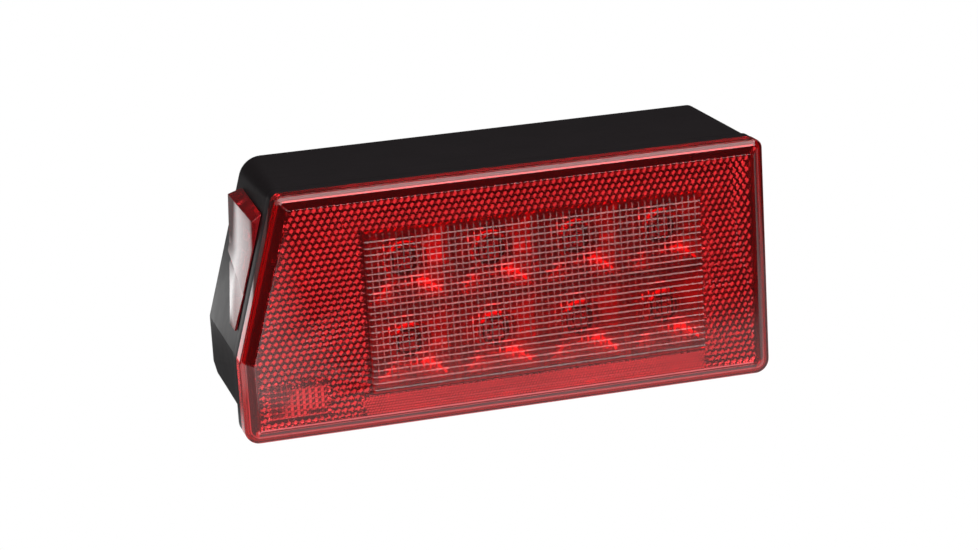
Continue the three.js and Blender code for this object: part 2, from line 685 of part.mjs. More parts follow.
// The light sources turn from facing -Y to facing down.
LICENCE_LEDS.forEach((offset, i) => {
  const piece = addPiece(`licence_led_${i + 1}`, ledGeometry, FINISHES.ledBody);
  piece.position.set(LED_CENTRE_X + offset, LICENCE_CENTRE_Y, licenceBoardLow);
  piece.rotation.x = Math.PI / 2;
});

// ---------------------------------------------------------------- leads between the boards

const LEAD_RADIUS = 0.75;
const LEAD_SPACING = 3;
const markerLeadEnd = new THREE.Vector3(-MARKER_BOARD_DEPTH - BOARD_THICKNESS - GAP - LEAD_RADIUS, 0, 30)
  .applyMatrix4(wallMatrix);

['supply', 'ground'].forEach((role, i) => {
  const shift = (i - 0.5) * LEAD_SPACING;
  const material = role === 'supply' ? FINISHES.brownLead : FINISHES.whiteLead;
  const markerRoute = [
    [boardEdges.left + 16, BOARD_BACK + GAP, 52 + shift],
    [boardEdges.left + 14, BOARD_BACK + 5, 52 + shift],
    [boardEdges.left + 6, BOARD_BACK + 11, 54 + shift],
    [markerLeadEnd.x + 12, MARKER_CENTRE_Y - 8, markerLeadEnd.z + 1 + shift],
    [markerLeadEnd.x + 5, MARKER_CENTRE_Y - 3, markerLeadEnd.z + shift],
    [markerLeadEnd.x, MARKER_CENTRE_Y, markerLeadEnd.z + shift],
  ];
  addPiece(`marker_lead_${role}`, lead(markerRoute, LEAD_RADIUS), material);
  const licenceRoute = [
    [LED_CENTRE_X + shift, BOARD_BACK + GAP, 34],
    [LED_CENTRE_X + shift, BOARD_BACK + 5, 34],
    [LED_CENTRE_X + shift, BOARD_BACK + 12, 32],
    [LED_CENTRE_X + shift, LICENCE_CENTRE_Y - 7, licenceBoardLow + BOARD_THICKNESS + 7],
    [LED_CENTRE_X + shift, LICENCE_CENTRE_Y - 3, licenceBoardLow + BOARD_THICKNESS + 3],
    [LED_CENTRE_X + shift, LICENCE_CENTRE_Y - 2, licenceBoardLow + BOARD_THICKNESS + GAP],
  ];
  addPiece(`licence_lead_${role}`, lead(licenceRoute, LEAD_RADIUS), material);
});

// ---------------------------------------------------------------- mounting hardware

// Carriage bolt pushed through from the inside: domed head, square neck, round shank.
function stud(x) {
  const seat = BACK_INSIDE - STUD_PAD - GAP;
  const headDome = STUD_HEAD_HEIGHT;
  const tip = BODY_DEPTH + STUD_PROJECTION;
  const turnedPart = turned([
    [0, seat - headDome], [3, seat - headDome + 0.3], [5.4, seat - headDome + 1.2],
    [STUD_HEAD_RADIUS, seat - 0.7], [STUD_HEAD_RADIUS, seat], [STUD_RADIUS, seat],
    [STUD_RADIUS, tip - 0.9], [STUD_RADIUS - 0.8, tip], [0, tip],
  ], x, STUD_HEIGHT);
  const neck = block(
    [x - STUD_RADIUS, seat - BITE, STUD_HEIGHT - STUD_RADIUS],
    [x + STUD_RADIUS, BODY_DEPTH - 1, STUD_HEIGHT + STUD_RADIUS],
  );
  return join(turnedPart, neck);
}

// Split spring washer, its ends a little apart.
function lockWasher(x, yFront) {
  const body = ring(LOCK_WASHER_RADIUS, STUD_RADIUS + GAP, x, STUD_HEIGHT,
    yFront, yFront + LOCK_WASHER_THICKNESS);
  const split = block(
    [x - 0.4, yFront - 1, STUD_HEIGHT],
    [x + 0.4, yFront + LOCK_WASHER_THICKNESS + 1, STUD_HEIGHT + LOCK_WASHER_RADIUS + 1],
  );
  return cut(body, split);
}

// Hexagon nut with its corners turned off on both faces.
function hexNut(x, yFront) {
  const cornerRadius = NUT_ACROSS_FLATS / Math.sqrt(3);
  const yBack = yFront + NUT_THICKNESS;
  const prism = rod(cornerRadius, x, STUD_HEIGHT, yFront, yBack, 6);
  const faceRadius = NUT_ACROSS_FLATS / 2 - 0.2;
  const chamfer = 0.7;
  const turnedForm = turned([
    [0, yFront], [faceRadius, yFront], [cornerRadius + 0.1, yFront + chamfer],
    [cornerRadius + 0.1, yBack - chamfer], [faceRadius, yBack], [0, yBack],
  ], x, STUD_HEIGHT, 24);
  const solid = toSolid(prism).intersect(toSolid(turnedForm));
  return cut(toGeometry(solid), rod(STUD_RADIUS + GAP, x, STUD_HEIGHT, yFront - 1, yBack + 1));
}

studPlaces.forEach((x, i) => {
  const side = i === 0 ? 'left' : 'right';
  const washerFront = BODY_DEPTH + BRACKET_THICKNESS;
  const lockFront = washerFront + WASHER_THICKNESS + GAP;
  const nutFront = lockFront + LOCK_WASHER_THICKNESS + GAP;
  addPiece(`stud_${side}`, stud(x), FINISHES.zinc);
  addPiece(`flat_washer_${side}`, ring(WASHER_RADIUS, STUD_RADIUS + GAP, x, STUD_HEIGHT,
    washerFront, washerFront + WASHER_THICKNESS), FINISHES.zinc);
  addPiece(`lock_washer_${side}`, lockWasher(x, lockFront), FINISHES.zinc);
  addPiece(`hex_nut_${side}`, hexNut(x, nutFront), FINISHES.zinc);
});

// ---------------------------------------------------------------- wire grommet

const grommetInner = BACK_INSIDE - GAP;
const grommetOuter = BODY_DEPTH + GAP;
addPiece('wire_grommet', turned([
  [GROMMET_BORE_RADIUS, grommetInner - 2],
  [GROMMET_FLANGE_RADIUS - 1.2, grommetInner - 2],
  [GROMMET_FLANGE_RADIUS - 0.6, grommetInner],
  [GROMMET_NECK_RADIUS, grommetInner],
  [GROMMET_NECK_RADIUS, grommetOuter],
  [GROMMET_FLANGE_RADIUS, grommetOuter],
  [GROMMET_FLANGE_RADIUS, grommetOuter + 1.2],
  [GROMMET_FLANGE_RADIUS - 1, grommetOuter + 2],
  [GROMMET_BORE_RADIUS + 1.6, grommetOuter + 2.6],
  [GROMMET_BORE_RADIUS, grommetOuter + 2.2],
  [GROMMET_BORE_RADIUS, grommetInner - 2],
], 0, grommetHeight), FINISHES.rubber);

// ---------------------------------------------------------------- the part in its own frame

lamp.position.set(0, -BODY_DEPTH, -STUD_HEIGHT);

export default lamp;
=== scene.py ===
"""Looks of a sealed LED trailer tail light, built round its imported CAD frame.

The frame is in metres: the flat back of the housing is Y = 0, the lens looks along -Y and Z = 0 is
the stud line. The shapes here are drawn in millimetres in the lamp frame, which has X across,
Y backwards from the front of the lens rim and Z up from the bottom of the rim. LAMP takes them
from there to the frame.
"""
import math

import bmesh
import bpy
from mathutils import Matrix, Vector, noise
from mathutils.geometry import delaunay_2d_cdt


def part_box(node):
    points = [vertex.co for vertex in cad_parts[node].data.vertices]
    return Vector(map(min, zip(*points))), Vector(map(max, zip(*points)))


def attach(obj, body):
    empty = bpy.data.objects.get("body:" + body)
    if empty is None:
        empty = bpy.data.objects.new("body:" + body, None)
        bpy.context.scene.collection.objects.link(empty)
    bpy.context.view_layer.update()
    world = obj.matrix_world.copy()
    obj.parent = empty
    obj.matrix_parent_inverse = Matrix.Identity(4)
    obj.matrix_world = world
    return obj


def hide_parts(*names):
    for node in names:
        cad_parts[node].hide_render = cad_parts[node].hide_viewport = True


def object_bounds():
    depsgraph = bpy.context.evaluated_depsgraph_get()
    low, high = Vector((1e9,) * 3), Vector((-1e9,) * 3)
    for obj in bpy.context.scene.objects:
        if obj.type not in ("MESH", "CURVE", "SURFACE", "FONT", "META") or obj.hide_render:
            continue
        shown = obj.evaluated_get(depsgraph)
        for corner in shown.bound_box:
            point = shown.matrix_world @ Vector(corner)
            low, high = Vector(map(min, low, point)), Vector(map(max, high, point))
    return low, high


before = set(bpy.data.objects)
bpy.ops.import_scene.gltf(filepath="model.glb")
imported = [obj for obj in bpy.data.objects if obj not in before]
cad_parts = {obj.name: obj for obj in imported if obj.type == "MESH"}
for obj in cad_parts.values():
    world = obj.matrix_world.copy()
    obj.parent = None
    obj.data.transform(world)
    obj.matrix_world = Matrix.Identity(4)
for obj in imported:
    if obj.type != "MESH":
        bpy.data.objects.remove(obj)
cad_low, cad_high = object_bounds()

# ---------------------------------------------------------------- sizes in millimetres

MM = 0.001
GAP = 0.3  # clearance between pieces that touch
OVERLAP = 0.3  # how far solids that are joined into one reach into each other

# main lens
PLATEAU_RISE = 2.2  # the raised centre stands this far in front of the rim
RIM_WIDTH = 4.8  # rounded edge and bevel
RIM_FACET = [(2.6, 0.05), (2.38, 0.23), (2.2, 0.33), (0.5, 1.2)]  # (inset, depth), from the bevel out
CENTRE_FILLET = 0.5  # between the raised centre and the bevel
OUTER_ROUND = (0.5, 0.75)  # width and depth of the rounding at the lens's outer edge
SKIRT_CHAMFER = 0.2
LENS_WALL = 2.6
BEVEL_WALL = 0.6  # more wall than that behind the bevel

lens_low, lens_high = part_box("main_lens")
WIDTH = (lens_high.x - lens_low.x) / MM
HEIGHT = (lens_high.z - lens_low.z) / MM
RIM_FRONT = lens_low.y + PLATEAU_RISE * MM
BODY_DEPTH = -RIM_FRONT / MM
SKIRT_DEPTH = (lens_high.y - RIM_FRONT) / MM
LAMP = Matrix.Translation((0, RIM_FRONT, lens_low.z)) @ Matrix.Diagonal((MM, MM, MM, 1))

# outline
KINK_HEIGHT = 31
LEAN_INSET = 17.6
RIM_CORNERS = [  # (x, z, radius), anticlockwise seen from the front
    (-WIDTH / 2, 0, 5.5),
    (WIDTH / 2, 0, 5.5),
    (WIDTH / 2, HEIGHT, 3.5),
    (-WIDTH / 2 + LEAN_INSET, HEIGHT, 3.8),
    (-WIDTH / 2, KINK_HEIGHT, 8),
]
MIN_ROUND = 0.4

# lens optics
PILLOW_PITCH = 2.43
PILLOW_COLUMNS = 53
PILLOW_ROWS = 25
PILLOW_LEFT = -53.7
PILLOW_LOW = 13.0
PILLOW_DOME = 0.1  # rise of each pillow on the inside of the lens, in each direction
CHAMFER_TOP = (0.20, 0.25)  # sloping top edge of a square outside: part of the pitch, and depth
CHAMFER_LEFT = (0.20, 0.27)
STEEP_PART = (0.04, 0.05)  # part of the pitch that the steep edges opposite take, across and upwards
PRISM_PITCH = 2.5  # distance between neighbouring cube-corner prisms
FINE_PITCH = 1.15  # the same, in the smooth-looking band below the pillow grid
PRISM_FILL = 0.72  # size of a prism in its cell
FINE_FILL = 0.92
PRISM_CLEARANCE = 0.3  # between the honeycomb and the finer areas
BAND_OVERHANG = 3  # the band reaches this far outboard of the pillow grid
BAND_GAP = 0.35
PRISM_BORDER = 5.5  # prisms stop this far in from the edge of the lens
RIB_PITCH = 2.3  # upright ribs of fine prisms in the lower outboard corner
RIB_COUNT = 10
RIB_WIDTH = 1.8
RIB_HEIGHT = 12
RIBS_LEFT = -92.6
RIBS_LOW = 8.4

# housing
WALL = 2.6
BACK_WALL = 3
FLANGE_FRONT = SKIRT_DEPTH + GAP
FLANGE_BACK = FLANGE_FRONT + 6.5
FLANGE_INSET = 0.2
FLOOR_HEIGHT = 6.4
FRONT_INSET = 0.8
BACK_INSET_LEFT = 2.2
BACK_INSET_RIGHT = 1.8
TOP_DROP = 0.5  # the body's top starts this far below the rim's, and rises to it at the back
CREASE_FRONT = 27.5
CREASE_BACK = 13
CREASE_TUCK = 1.5
BACK_ROUND = 2.4
LIP_DEPTH = 4
LIP_THICKNESS = 1.8
LIP_CHAMFER = 0.3
LEAN_SLOPE = LEAN_INSET / (HEIGHT - KINK_HEIGHT)


# ---------------------------------------------------------------- mesh tools

class Skin:
    """The points and faces of one mesh, in millimetres in the lamp frame."""

    def __init__(self):
        self.points = []
        self.faces = []

    def add(self, points):
        first = len(self.points)
        self.points += [tuple(p) for p in points]
        return list(range(first, len(self.points)))

    def ring(self, outline, y):
        return self.add((x, y, z) for x, z in outline)

    def bridge(self, rings):
        """Quads between one ring of points and the next."""
        for near, far in zip(rings, rings[1:]):
            for i in range(len(near)):
                j = (i + 1) % len(near)
                self.faces.append((near[i], far[i], far[j], near[j]))
        return rings

    def cap(self, *rings):
        self.faces += [tuple(ring) for ring in rings]

    def loft(self, sections):
        """A closed body through (outline, y) sections."""
        rings = self.bridge([self.ring(outline, y) for outline, y in sections])
        self.cap(rings[0], rings[-1])
        return self

    def turned(self, profile, x=0.0, z=0.0, sides=48, bored=False):
        """A body turned about an axis that runs front to back; the profile is (radius, y) pairs."""
        rings = self.bridge([self.ring(circle(x, z, radius, sides), y) for radius, y in profile])
        if bored:
            self.bridge([rings[-1], rings[0]])
        else:
            self.cap(rings[0], rings[-1])
        return self

    def box(self, low, high):
        corners = [(low[0], low[2]), (high[0], low[2]), (high[0], high[2]), (low[0], high[2])]
        return self.loft([(corners, low[1]), (corners, high[1])])


def circle(x, z, radius, sides):
    turns = (2 * math.pi * i / sides for i in range(sides))
    return [(x + radius * math.cos(a), z + radius * math.sin(a)) for a in turns]


def side_headings(corners):
    """The direction of each side of an outline, from its corner to the next one."""
    pairs = zip(corners, corners[1:] + corners[:1])
    return [Vector((after[0] - corner[0], after[1] - corner[1])).normalized() for corner, after in pairs]


def rounded_outline(corners, inset, steps=8):
    """A convex outline, anticlockwise from the front, moved in from its corners and rounded."""
    headings = side_headings(corners)
    points = []
    for i, (x, z, radius) in enumerate(corners):
        before, after = headings[i - 1], headings[i]
        turn = math.atan2(before.x * after.y - before.y * after.x, before.dot(after))
        rounding = max(radius - inset, MIN_ROUND)
        inward = Vector((-before.y, before.x))
        corner = Vector((x, z)) + inward * inset - before * inset * math.tan(turn / 2)
        centre = corner - before * rounding * math.tan(turn / 2) + inward * rounding
        start = math.atan2(-before.x, before.y)
        for step in range(steps + 1):
            angle = start + turn * step / steps
            points.append((centre.x + rounding * math.cos(angle), centre.y + rounding * math.sin(angle)))
    return points


def rim_outline(inset, steps=8):
    return rounded_outline(RIM_CORNERS, inset, steps)


def body_outline(inset, y):
    """The housing behind the flange narrows slightly towards the back."""
    along = (y - FLANGE_BACK) / (BODY_DEPTH - FLANGE_BACK)

    def mix(front, back):
        return front + (back - front) * along

    left = -WIDTH / 2 + mix(FRONT_INSET, BACK_INSET_LEFT)
    right = WIDTH / 2 - mix(FRONT_INSET, BACK_INSET_RIGHT)
    top = HEIGHT - mix(TOP_DROP, 0)
    corners = [  # (x, z, radius)
        (left + CREASE_TUCK, FLOOR_HEIGHT, 2.5),
        (right, FLOOR_HEIGHT, 4),
        (right, top, mix(3.2, 3.6)),
        (left + LEAN_SLOPE * (top - KINK_HEIGHT), top, mix(5, 9)),
        (left, KINK_HEIGHT, 2),
        (left, mix(CREASE_FRONT, CREASE_BACK), 1),
    ]
    return rounded_outline(corners, inset)


def quarter(steps, start=0.0, end=90.0):
    """(sine, cosine) pairs over part of a turn, for rounded edges."""
    angles = (math.radians(start + (end - start) * i / steps) for i in range(steps + 1))
    return [(math.sin(a), math.cos(a)) for a in angles]


def link(name, data):
    made = bpy.data.objects.new(name, data)
    bpy.context.scene.collection.objects.link(made)
    return made


def to_object(name, skin):
    """A closed mesh object, still in millimetres, with its faces pointing outwards."""
    mesh = bpy.data.meshes.new(name)
    mesh.from_pydata(skin.points, [], skin.faces)
    work = bmesh.new()
    work.from_mesh(mesh)
    bmesh.ops.recalc_face_normals(work, faces=work.faces)
    work.to_mesh(mesh)
    work.free()
    return link(name, mesh)


def apply_modifiers(piece):
    depsgraph = bpy.context.evaluated_depsgraph_get()
    finished = bpy.data.meshes.new_from_object(piece.evaluated_get(depsgraph))
    piece.modifiers.clear()
    rough = piece.data
    piece.data = finished
    bpy.data.meshes.remove(rough)
    return piece


def boolean(piece, tool, operation):
    """Joins a tool to a piece or cuts it out, and removes the tool."""
    modifier = piece.modifiers.new("boolean", "BOOLEAN")
    modifier.operation = operation
    modifier.solver = "EXACT"
    modifier.object = tool
    apply_modifiers(piece)
    bpy.data.objects.remove(tool)
    return piece


def join(piece, tool):
    return boolean(piece, tool, "UNION")


def carve(piece, tool):
    return boolean(piece, tool, "DIFFERENCE")


def block(low, high):
    return to_object("tool", Skin().box(low, high))


def rod(radius, x, z, front, back, sides=32):
    return to_object("tool", Skin().turned([(radius, front), (radius, back)], x, z, sides))


def post(radius, x, y, low, high):
    made = rod(radius, 0, 0, 0, high - low)
    made.data.transform(Matrix.Translation((x, y, low)) @ Matrix.Rotation(math.radians(90), 4, "X"))
    return made


def bevel(piece, width, segments=3, angle=30):
    modifier = piece.modifiers.new("bevel", "BEVEL")
    modifier.width = width
    modifier.segments = segments
    modifier.limit_method = "ANGLE"
    modifier.angle_limit = math.radians(angle)
    modifier.harden_normals = False
    return apply_modifiers(piece)


def dress(piece, finish, place=LAMP, sharp=32):
    """Moves a piece to the frame, shades it, and puts it on the body."""
    piece.data.transform(place)
    piece.data.materials.clear()
    piece.data.materials.append(FINISHES[finish].material)
    piece.data.polygons.foreach_set("use_smooth", [True] * len(piece.data.polygons))
    piece.data.set_sharp_from_angle(angle=math.radians(sharp))
    piece.data.update()
    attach(piece, "root")


def finish_piece(piece, finish, replaced, place=LAMP, sharp=32):
    """Dresses a piece that stands in for one of the frame's nodes."""
    dress(piece, finish, place, sharp)
    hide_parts(replaced)


# ---------------------------------------------------------------- materials

class Nodes:
    """A node tree, and short ways to add to it."""

    def __init__(self, owner):
        owner.use_nodes = True
        self.tree = owner.node_tree

    def node(self, kind, inputs=None, **settings):
        node = self.tree.nodes.new("ShaderNode" + kind)
        for key, value in settings.items():
            setattr(node, key, value)
        for key, value in (inputs or {}).items():
            if isinstance(value, bpy.types.NodeSocket):
                self.tree.links.new(value, node.inputs[key])
            else:
                node.inputs[key].default_value = value
        return node

    def ramp(self, value, low, high, start=0.0, end=1.0, **settings):
        inputs = {"Value": value, "From Min": low, "From Max": high, "To Min": start, "To Max": end}
        return self.node("MapRange", inputs, **settings).outputs["Result"]


class Finish(Nodes):
    """One node material: a Principled shader with procedural textures on the piece's own coordinates."""

    def __init__(self, name, color, roughness, **settings):
        self.material = bpy.data.materials.new(name)
        super().__init__(self.material)
        self.shader = self.tree.nodes["Principled BSDF"]
        self.shader.inputs["Base Color"].default_value = (*color, 1)
        self.shader.inputs["Roughness"].default_value = roughness
        for socket, value in settings.items():
            self.shader.inputs[socket.replace("_", " ")].default_value = value
        self.place = self.node("TexCoord").outputs["Object"]

    def noise(self, grain, detail, stretch=(1, 1, 1), distortion=0.0):
        """A noise value whose grain is in millimetres."""
        mapping = self.node("Mapping", {"Vector": self.place, "Scale": stretch})
        return self.node("TexNoise", {
            "Vector": mapping.outputs[0], "Scale": 1 / (grain * MM), "Detail": detail,
            "Distortion": distortion,
        }).outputs["Fac"]

    def blend(self, amount, first, second):
        """A colour between two colours; each is a colour or another node's output."""
        tones = [tone if isinstance(tone, bpy.types.NodeSocket) else (*tone, 1) for tone in (first, second)]
        return self.node("Mix", {0: amount, 6: tones[0], 7: tones[1]}, data_type="RGBA").outputs[2]

    def color(self, socket):
        self.tree.links.new(socket, self.shader.inputs["Base Color"])
        return self

    def roughness(self, socket):
        self.tree.links.new(socket, self.shader.inputs["Roughness"])
        return self

    def bump(self, height, depth, strength):
        """Fine relief; the depth is in millimetres."""
        node = self.node("Bump", {"Height": height, "Distance": depth * MM, "Strength": strength})
        self.tree.links.new(node.outputs["Normal"], self.shader.inputs["Normal"])
        return self

    def mottle(self, grain, detail, first, second):
        """Colour that wanders between two tones."""
        return self.color(self.blend(self.noise(grain, detail), first, second))

    def haze(self, grain, detail, least, most, span=(0.3, 0.7)):
        """Roughness that wanders between two values."""
        return self.roughness(self.ramp(self.noise(grain, detail), *span, least, most))

    def relief(self, grain, detail, depth, strength):
        return self.bump(self.noise(grain, detail), depth, strength)


def black_plastic():
    """Moulded black plastic: a fine spark-eroded grain, faint flow marks and slight gloss changes."""
    f = Finish("black_plastic", (0.011, 0.008, 0.009), 0.42, Specular_IOR_Level=0.18)
    cloud = f.noise(22, 3)
    flow = f.noise(6, 4, stretch=(0.3, 1, 1), distortion=0.6)
    grain = f.noise(0.45, 3)
    f.color(f.blend(cloud, (0.010, 0.0072, 0.0082), (0.015, 0.011, 0.0125)))
    f.roughness(f.ramp(flow, 0.25, 0.75, 0.40, 0.45))
    return f.bump(grain, 0.012, 0.5)


def red_acrylic(name, color, clearness):
    """Clear red acrylic with the faintest moulding flow in its gloss."""
    f = Finish(name, color, 0.02, Transmission_Weight=clearness, IOR=1.49)
    flow = f.noise(14, 3, stretch=(0.4, 1, 1), distortion=1.0)
    f.roughness(f.ramp(flow, 0.35, 0.75, 0.008, 0.035))
    shade = f.ramp(f.noise(30, 2), 0.3, 0.7)
    return f.color(f.blend(shade, color, tuple(c * 0.9 for c in color)))


def clear_acrylic():
    f = Finish("clear_lens", (0.93, 0.95, 0.95), 0.03, Transmission_Weight=1.0, IOR=1.49)
    f.haze(5, 4, 0.02, 0.09, (0.3, 0.8))
    return f.mottle(12, 2, (0.95, 0.96, 0.96), (0.88, 0.91, 0.92))


def mirror_coat():
    """Vacuum-metallised plastic: bright, with faint orange peel."""
    f = Finish("mirror_coat", (0.80, 0.81, 0.83), 0.2, Metallic=1.0)
    f.mottle(9, 3, (0.70, 0.71, 0.73), (0.60, 0.61, 0.63))
    f.haze(3, 4, 0.14, 0.26, (0.3, 0.8))
    return f.relief(1.4, 2, 0.01, 0.25)


def circuit_board():
    """Green solder mask over copper: tracks, pads and bare glass weave between them."""
    f = Finish("circuit_board", (0.01, 0.09, 0.035), 0.34)
    tracks = f.node("TexBrick", {
        "Vector": f.place, "Scale": 1 / (9 * MM), "Mortar Size": 0.035, "Brick Width": 0.9,
        "Row Height": 0.4, "Color1": (0, 0, 0, 1), "Color2": (0, 0, 0, 1), "Mortar": (1, 1, 1, 1),
    }, offset=0.37).outputs["Color"]
    vias = f.node("TexVoronoi", {"Vector": f.place, "Scale": 1 / (5.5 * MM)}).outputs["Distance"]
    ringed = f.ramp(vias, 0.07, 0.09, 1.0, 0.0)
    weave = f.noise(0.5, 2)
    mask = f.blend(weave, (0.006, 0.060, 0.022), (0.010, 0.085, 0.034))
    over_copper = f.blend(tracks, mask, (0.022, 0.170, 0.060))
    f.color(f.blend(ringed, over_copper, (0.55, 0.52, 0.46)))
    f.roughness(f.ramp(weave, 0.3, 0.7, 0.28, 0.42))
    return f.bump(tracks, 0.035, 0.7)


def weld_flash():
    """Melted plastic: nearly black, with red showing through in places."""
    f = Finish("weld_flash", (0.035, 0.012, 0.016), 0.22)
    f.mottle(1.6, 3, (0.020, 0.008, 0.010), (0.075, 0.016, 0.024))
    f.haze(0.8, 2, 0.14, 0.36)
    return f.relief(0.25, 2, 0.02, 0.8)


def fused_red():
    f = Finish("fused_red", (0.72, 0.02, 0.03), 0.4)
    f.mottle(2.2, 3, (0.80, 0.022, 0.034), (0.60, 0.015, 0.024))
    return f.relief(0.4, 2, 0.02, 0.6)


def ceramic():
    f = Finish("led_package", (0.72, 0.69, 0.60), 0.42)
    f.mottle(0.6, 3, (0.78, 0.75, 0.68), (0.62, 0.58, 0.49))
    f.haze(0.4, 2, 0.35, 0.55)
    return f.relief(0.15, 2, 0.006, 0.4)


def silicone_dome():
    f = Finish("led_dome", (0.95, 0.90, 0.86), 0.04, Transmission_Weight=1.0, IOR=1.41)
    return f.haze(1.2, 2, 0.02, 0.06)


def chip_resin():
    f = Finish("chip", (0.014, 0.014, 0.015), 0.5)
    f.mottle(0.3, 3, (0.010, 0.010, 0.011), (0.026, 0.026, 0.028))
    f.haze(0.8, 3, 0.42, 0.6)
    return f.relief(0.12, 2, 0.008, 0.5)


def zinc_plate():
    """Bright zinc plate with a faint blue and straw bloom and fine handling marks."""
    f = Finish("zinc_steel", (0.62, 0.62, 0.61), 0.3, Metallic=1.0)
    bloom = f.blend(f.noise(4, 3, distortion=0.8), (0.56, 0.59, 0.64), (0.70, 0.67, 0.58))
    spots = f.ramp(f.noise(0.7, 4), 0.55, 0.75)
    f.color(f.blend(spots, bloom, (0.46, 0.46, 0.46)))
    f.haze(1.1, 4, 0.24, 0.44)
    return f.relief(0.25, 3, 0.004, 0.5)


def black_rubber():
    f = Finish("black_rubber", (0.013, 0.013, 0.013), 0.75)
    f.mottle(3, 4, (0.010, 0.010, 0.010), (0.024, 0.023, 0.022))
    f.haze(1.5, 3, 0.66, 0.85)
    return f.relief(0.3, 3, 0.02, 0.6)


def lead_insulation(name, color):
    f = Finish(name, color, 0.42)
    f.mottle(2, 3, color, tuple(c * 0.75 for c in color))
    f.haze(0.8, 2, 0.35, 0.5)
    return f.relief(0.4, 2, 0.006, 0.5)


FINISHES = {
    "black_plastic": black_plastic(),
    "weld_flash": weld_flash(),
    "fused_red": fused_red(),
    "red_lens": red_acrylic("red_lens", (0.84, 0.030, 0.036), 0.955),
    "marker_lens": red_acrylic("marker_lens", (0.80, 0.030, 0.040), 0.84),
    "clear_lens": clear_acrylic(),
    "mirror_coat": mirror_coat(),
    "circuit_board": circuit_board(),
    "led_package": ceramic(),
    "led_dome": silicone_dome(),
    "chip": chip_resin(),
    "zinc_steel": zinc_plate(),
    "black_rubber": black_rubber(),
    "supply_lead": lead_insulation("supply_lead", (0.11, 0.045, 0.022)),
    "ground_lead": lead_insulation("ground_lead", (0.62, 0.61, 0.58)),
}


# ---------------------------------------------------------------- main lens

def square_grid(skin, level, splits, relief):
    """The grid of small squares on one side of the lens.

    splits are the parts of a square where it has points, across and upwards, and relief(u, v) is its
    depth there. Returns the grid's rim of points, anticlockwise, and its box. The rim itself is flat."""
    def lines(start, count, parts):
        places = [i + part for i in range(count) for part in parts] + [count]
        return [start + PILLOW_PITCH * place for place in places]

    columns = lines(PILLOW_LEFT, PILLOW_COLUMNS, splits[0])
    rows = lines(PILLOW_LOW, PILLOW_ROWS, splits[1])
    table = []
    for j, z in enumerate(rows):
        v = splits[1][j % len(splits[1])]
        row = []
        for i, x in enumerate(columns):
            rim = i in (0, len(columns) - 1) or j in (0, len(rows) - 1)
            depth = 0 if rim else relief(splits[0][i % len(splits[0])], v)
            row.append((x, level + depth, z))
        table.append(skin.add(row))
    for below, above in zip(table, table[1:]):
        for i in range(len(columns) - 1):
            skin.faces.append((below[i], below[i + 1], above[i + 1], above[i]))
    right_side = [row[-1] for row in table[:-1]]
    left_side = [row[0] for row in table[:0:-1]]
    rim = table[0][:-1] + right_side + table[-1][:0:-1] + left_side
    return rim, (columns[0], rows[0], columns[-1], rows[-1])


def inside(point, box, margin):
    x, z = point
    return box[0] - margin < x < box[2] + margin and box[1] - margin < z < box[3] + margin


RIM_HEADINGS = side_headings(RIM_CORNERS)


def inset_distance(point):
    """How far a point lies inside the straight sides of the lens outline."""
    return min((point[1] - z) * heading.x - (point[0] - x) * heading.y
               for (x, z, _), heading in zip(RIM_CORNERS, RIM_HEADINGS))


def honeycomb(pitch, fill, wanted):
    """Cube-corner prisms wherever wanted(spot) is true: (x, z, height) of each tip and its six corners."""
    radius = fill * pitch / math.sqrt(3)
    step = radius / math.sqrt(2)
    row_height = pitch * math.sqrt(3) / 2
    turns = [math.radians(30 + 60 * k) for k in range(6)]
    ring = [(radius * math.cos(a), radius * math.sin(a)) for a in turns]
    points = []
    for j in range(int(HEIGHT / row_height) + 1):
        for i in range(int(WIDTH / pitch) + 1):
            x, z = -WIDTH / 2 + pitch * (i + 0.5 * (j % 2)), j * row_height
            prism = [(x, z, 2 * step)]
            prism += [(x + dx, z + dz, step * (k % 2)) for k, (dx, dz) in enumerate(ring)]
            points += [p for p in prism if inset_distance(p[:2]) > PRISM_BORDER and wanted(p[:2])]
    return points


INNER_FACE = LENS_WALL - PLATEAU_RISE


def fill_face(skin, boundary, rim, box, corners=()):
    """Triangles between the edge of a lens face, its grid, and any prism corners between them."""
    loops = [boundary, rim]
    used = [i for loop in loops for i in loop] + list(corners)
    flat = [Vector((skin.points[i][0], skin.points[i][2])) for i in used]
    edges, first = [], 0
    for loop in loops:
        count = len(loop)
        edges += [(first + i, first + (i + 1) % count) for i in range(count)]
        first += count
    made = delaunay_2d_cdt(flat, edges, [], 0, 1e-7)
    sources = [used[origins[0]] for origins in made[3]]
    for triangle in made[2]:
        face = [sources[i] for i in triangle]
        centre = (sum(skin.points[i][0] for i in face) / 3, sum(skin.points[i][2] for i in face) / 3)
        if not inside(centre, box, 0):
            skin.faces.append(tuple(face))


def front_face(skin, boundary):
    """The outside of the raised centre: smooth, with a field of small squares with sloping edges."""
    def edge(part, sloping, depth, back):
        """Depth across one square: a wide slope ending at 1, and a steep way back up."""
        if part < back:
            return depth * (1 - part / back)
        return max(0.0, depth * (part - 1 + sloping) / sloping)

    def square(u, v):
        return edge(v, *CHAMFER_TOP, STEEP_PART[1]) + edge(1 - u if u else 0, *CHAMFER_LEFT, STEEP_PART[0])

    across = (0, CHAMFER_LEFT[0], 0.6, 1 - STEEP_PART[0])
    upwards = (0, STEEP_PART[1], 0.4, 1 - CHAMFER_TOP[0])
    rim, box = square_grid(skin, -PLATEAU_RISE, (across, upwards), square)
    fill_face(skin, boundary, rim, box)


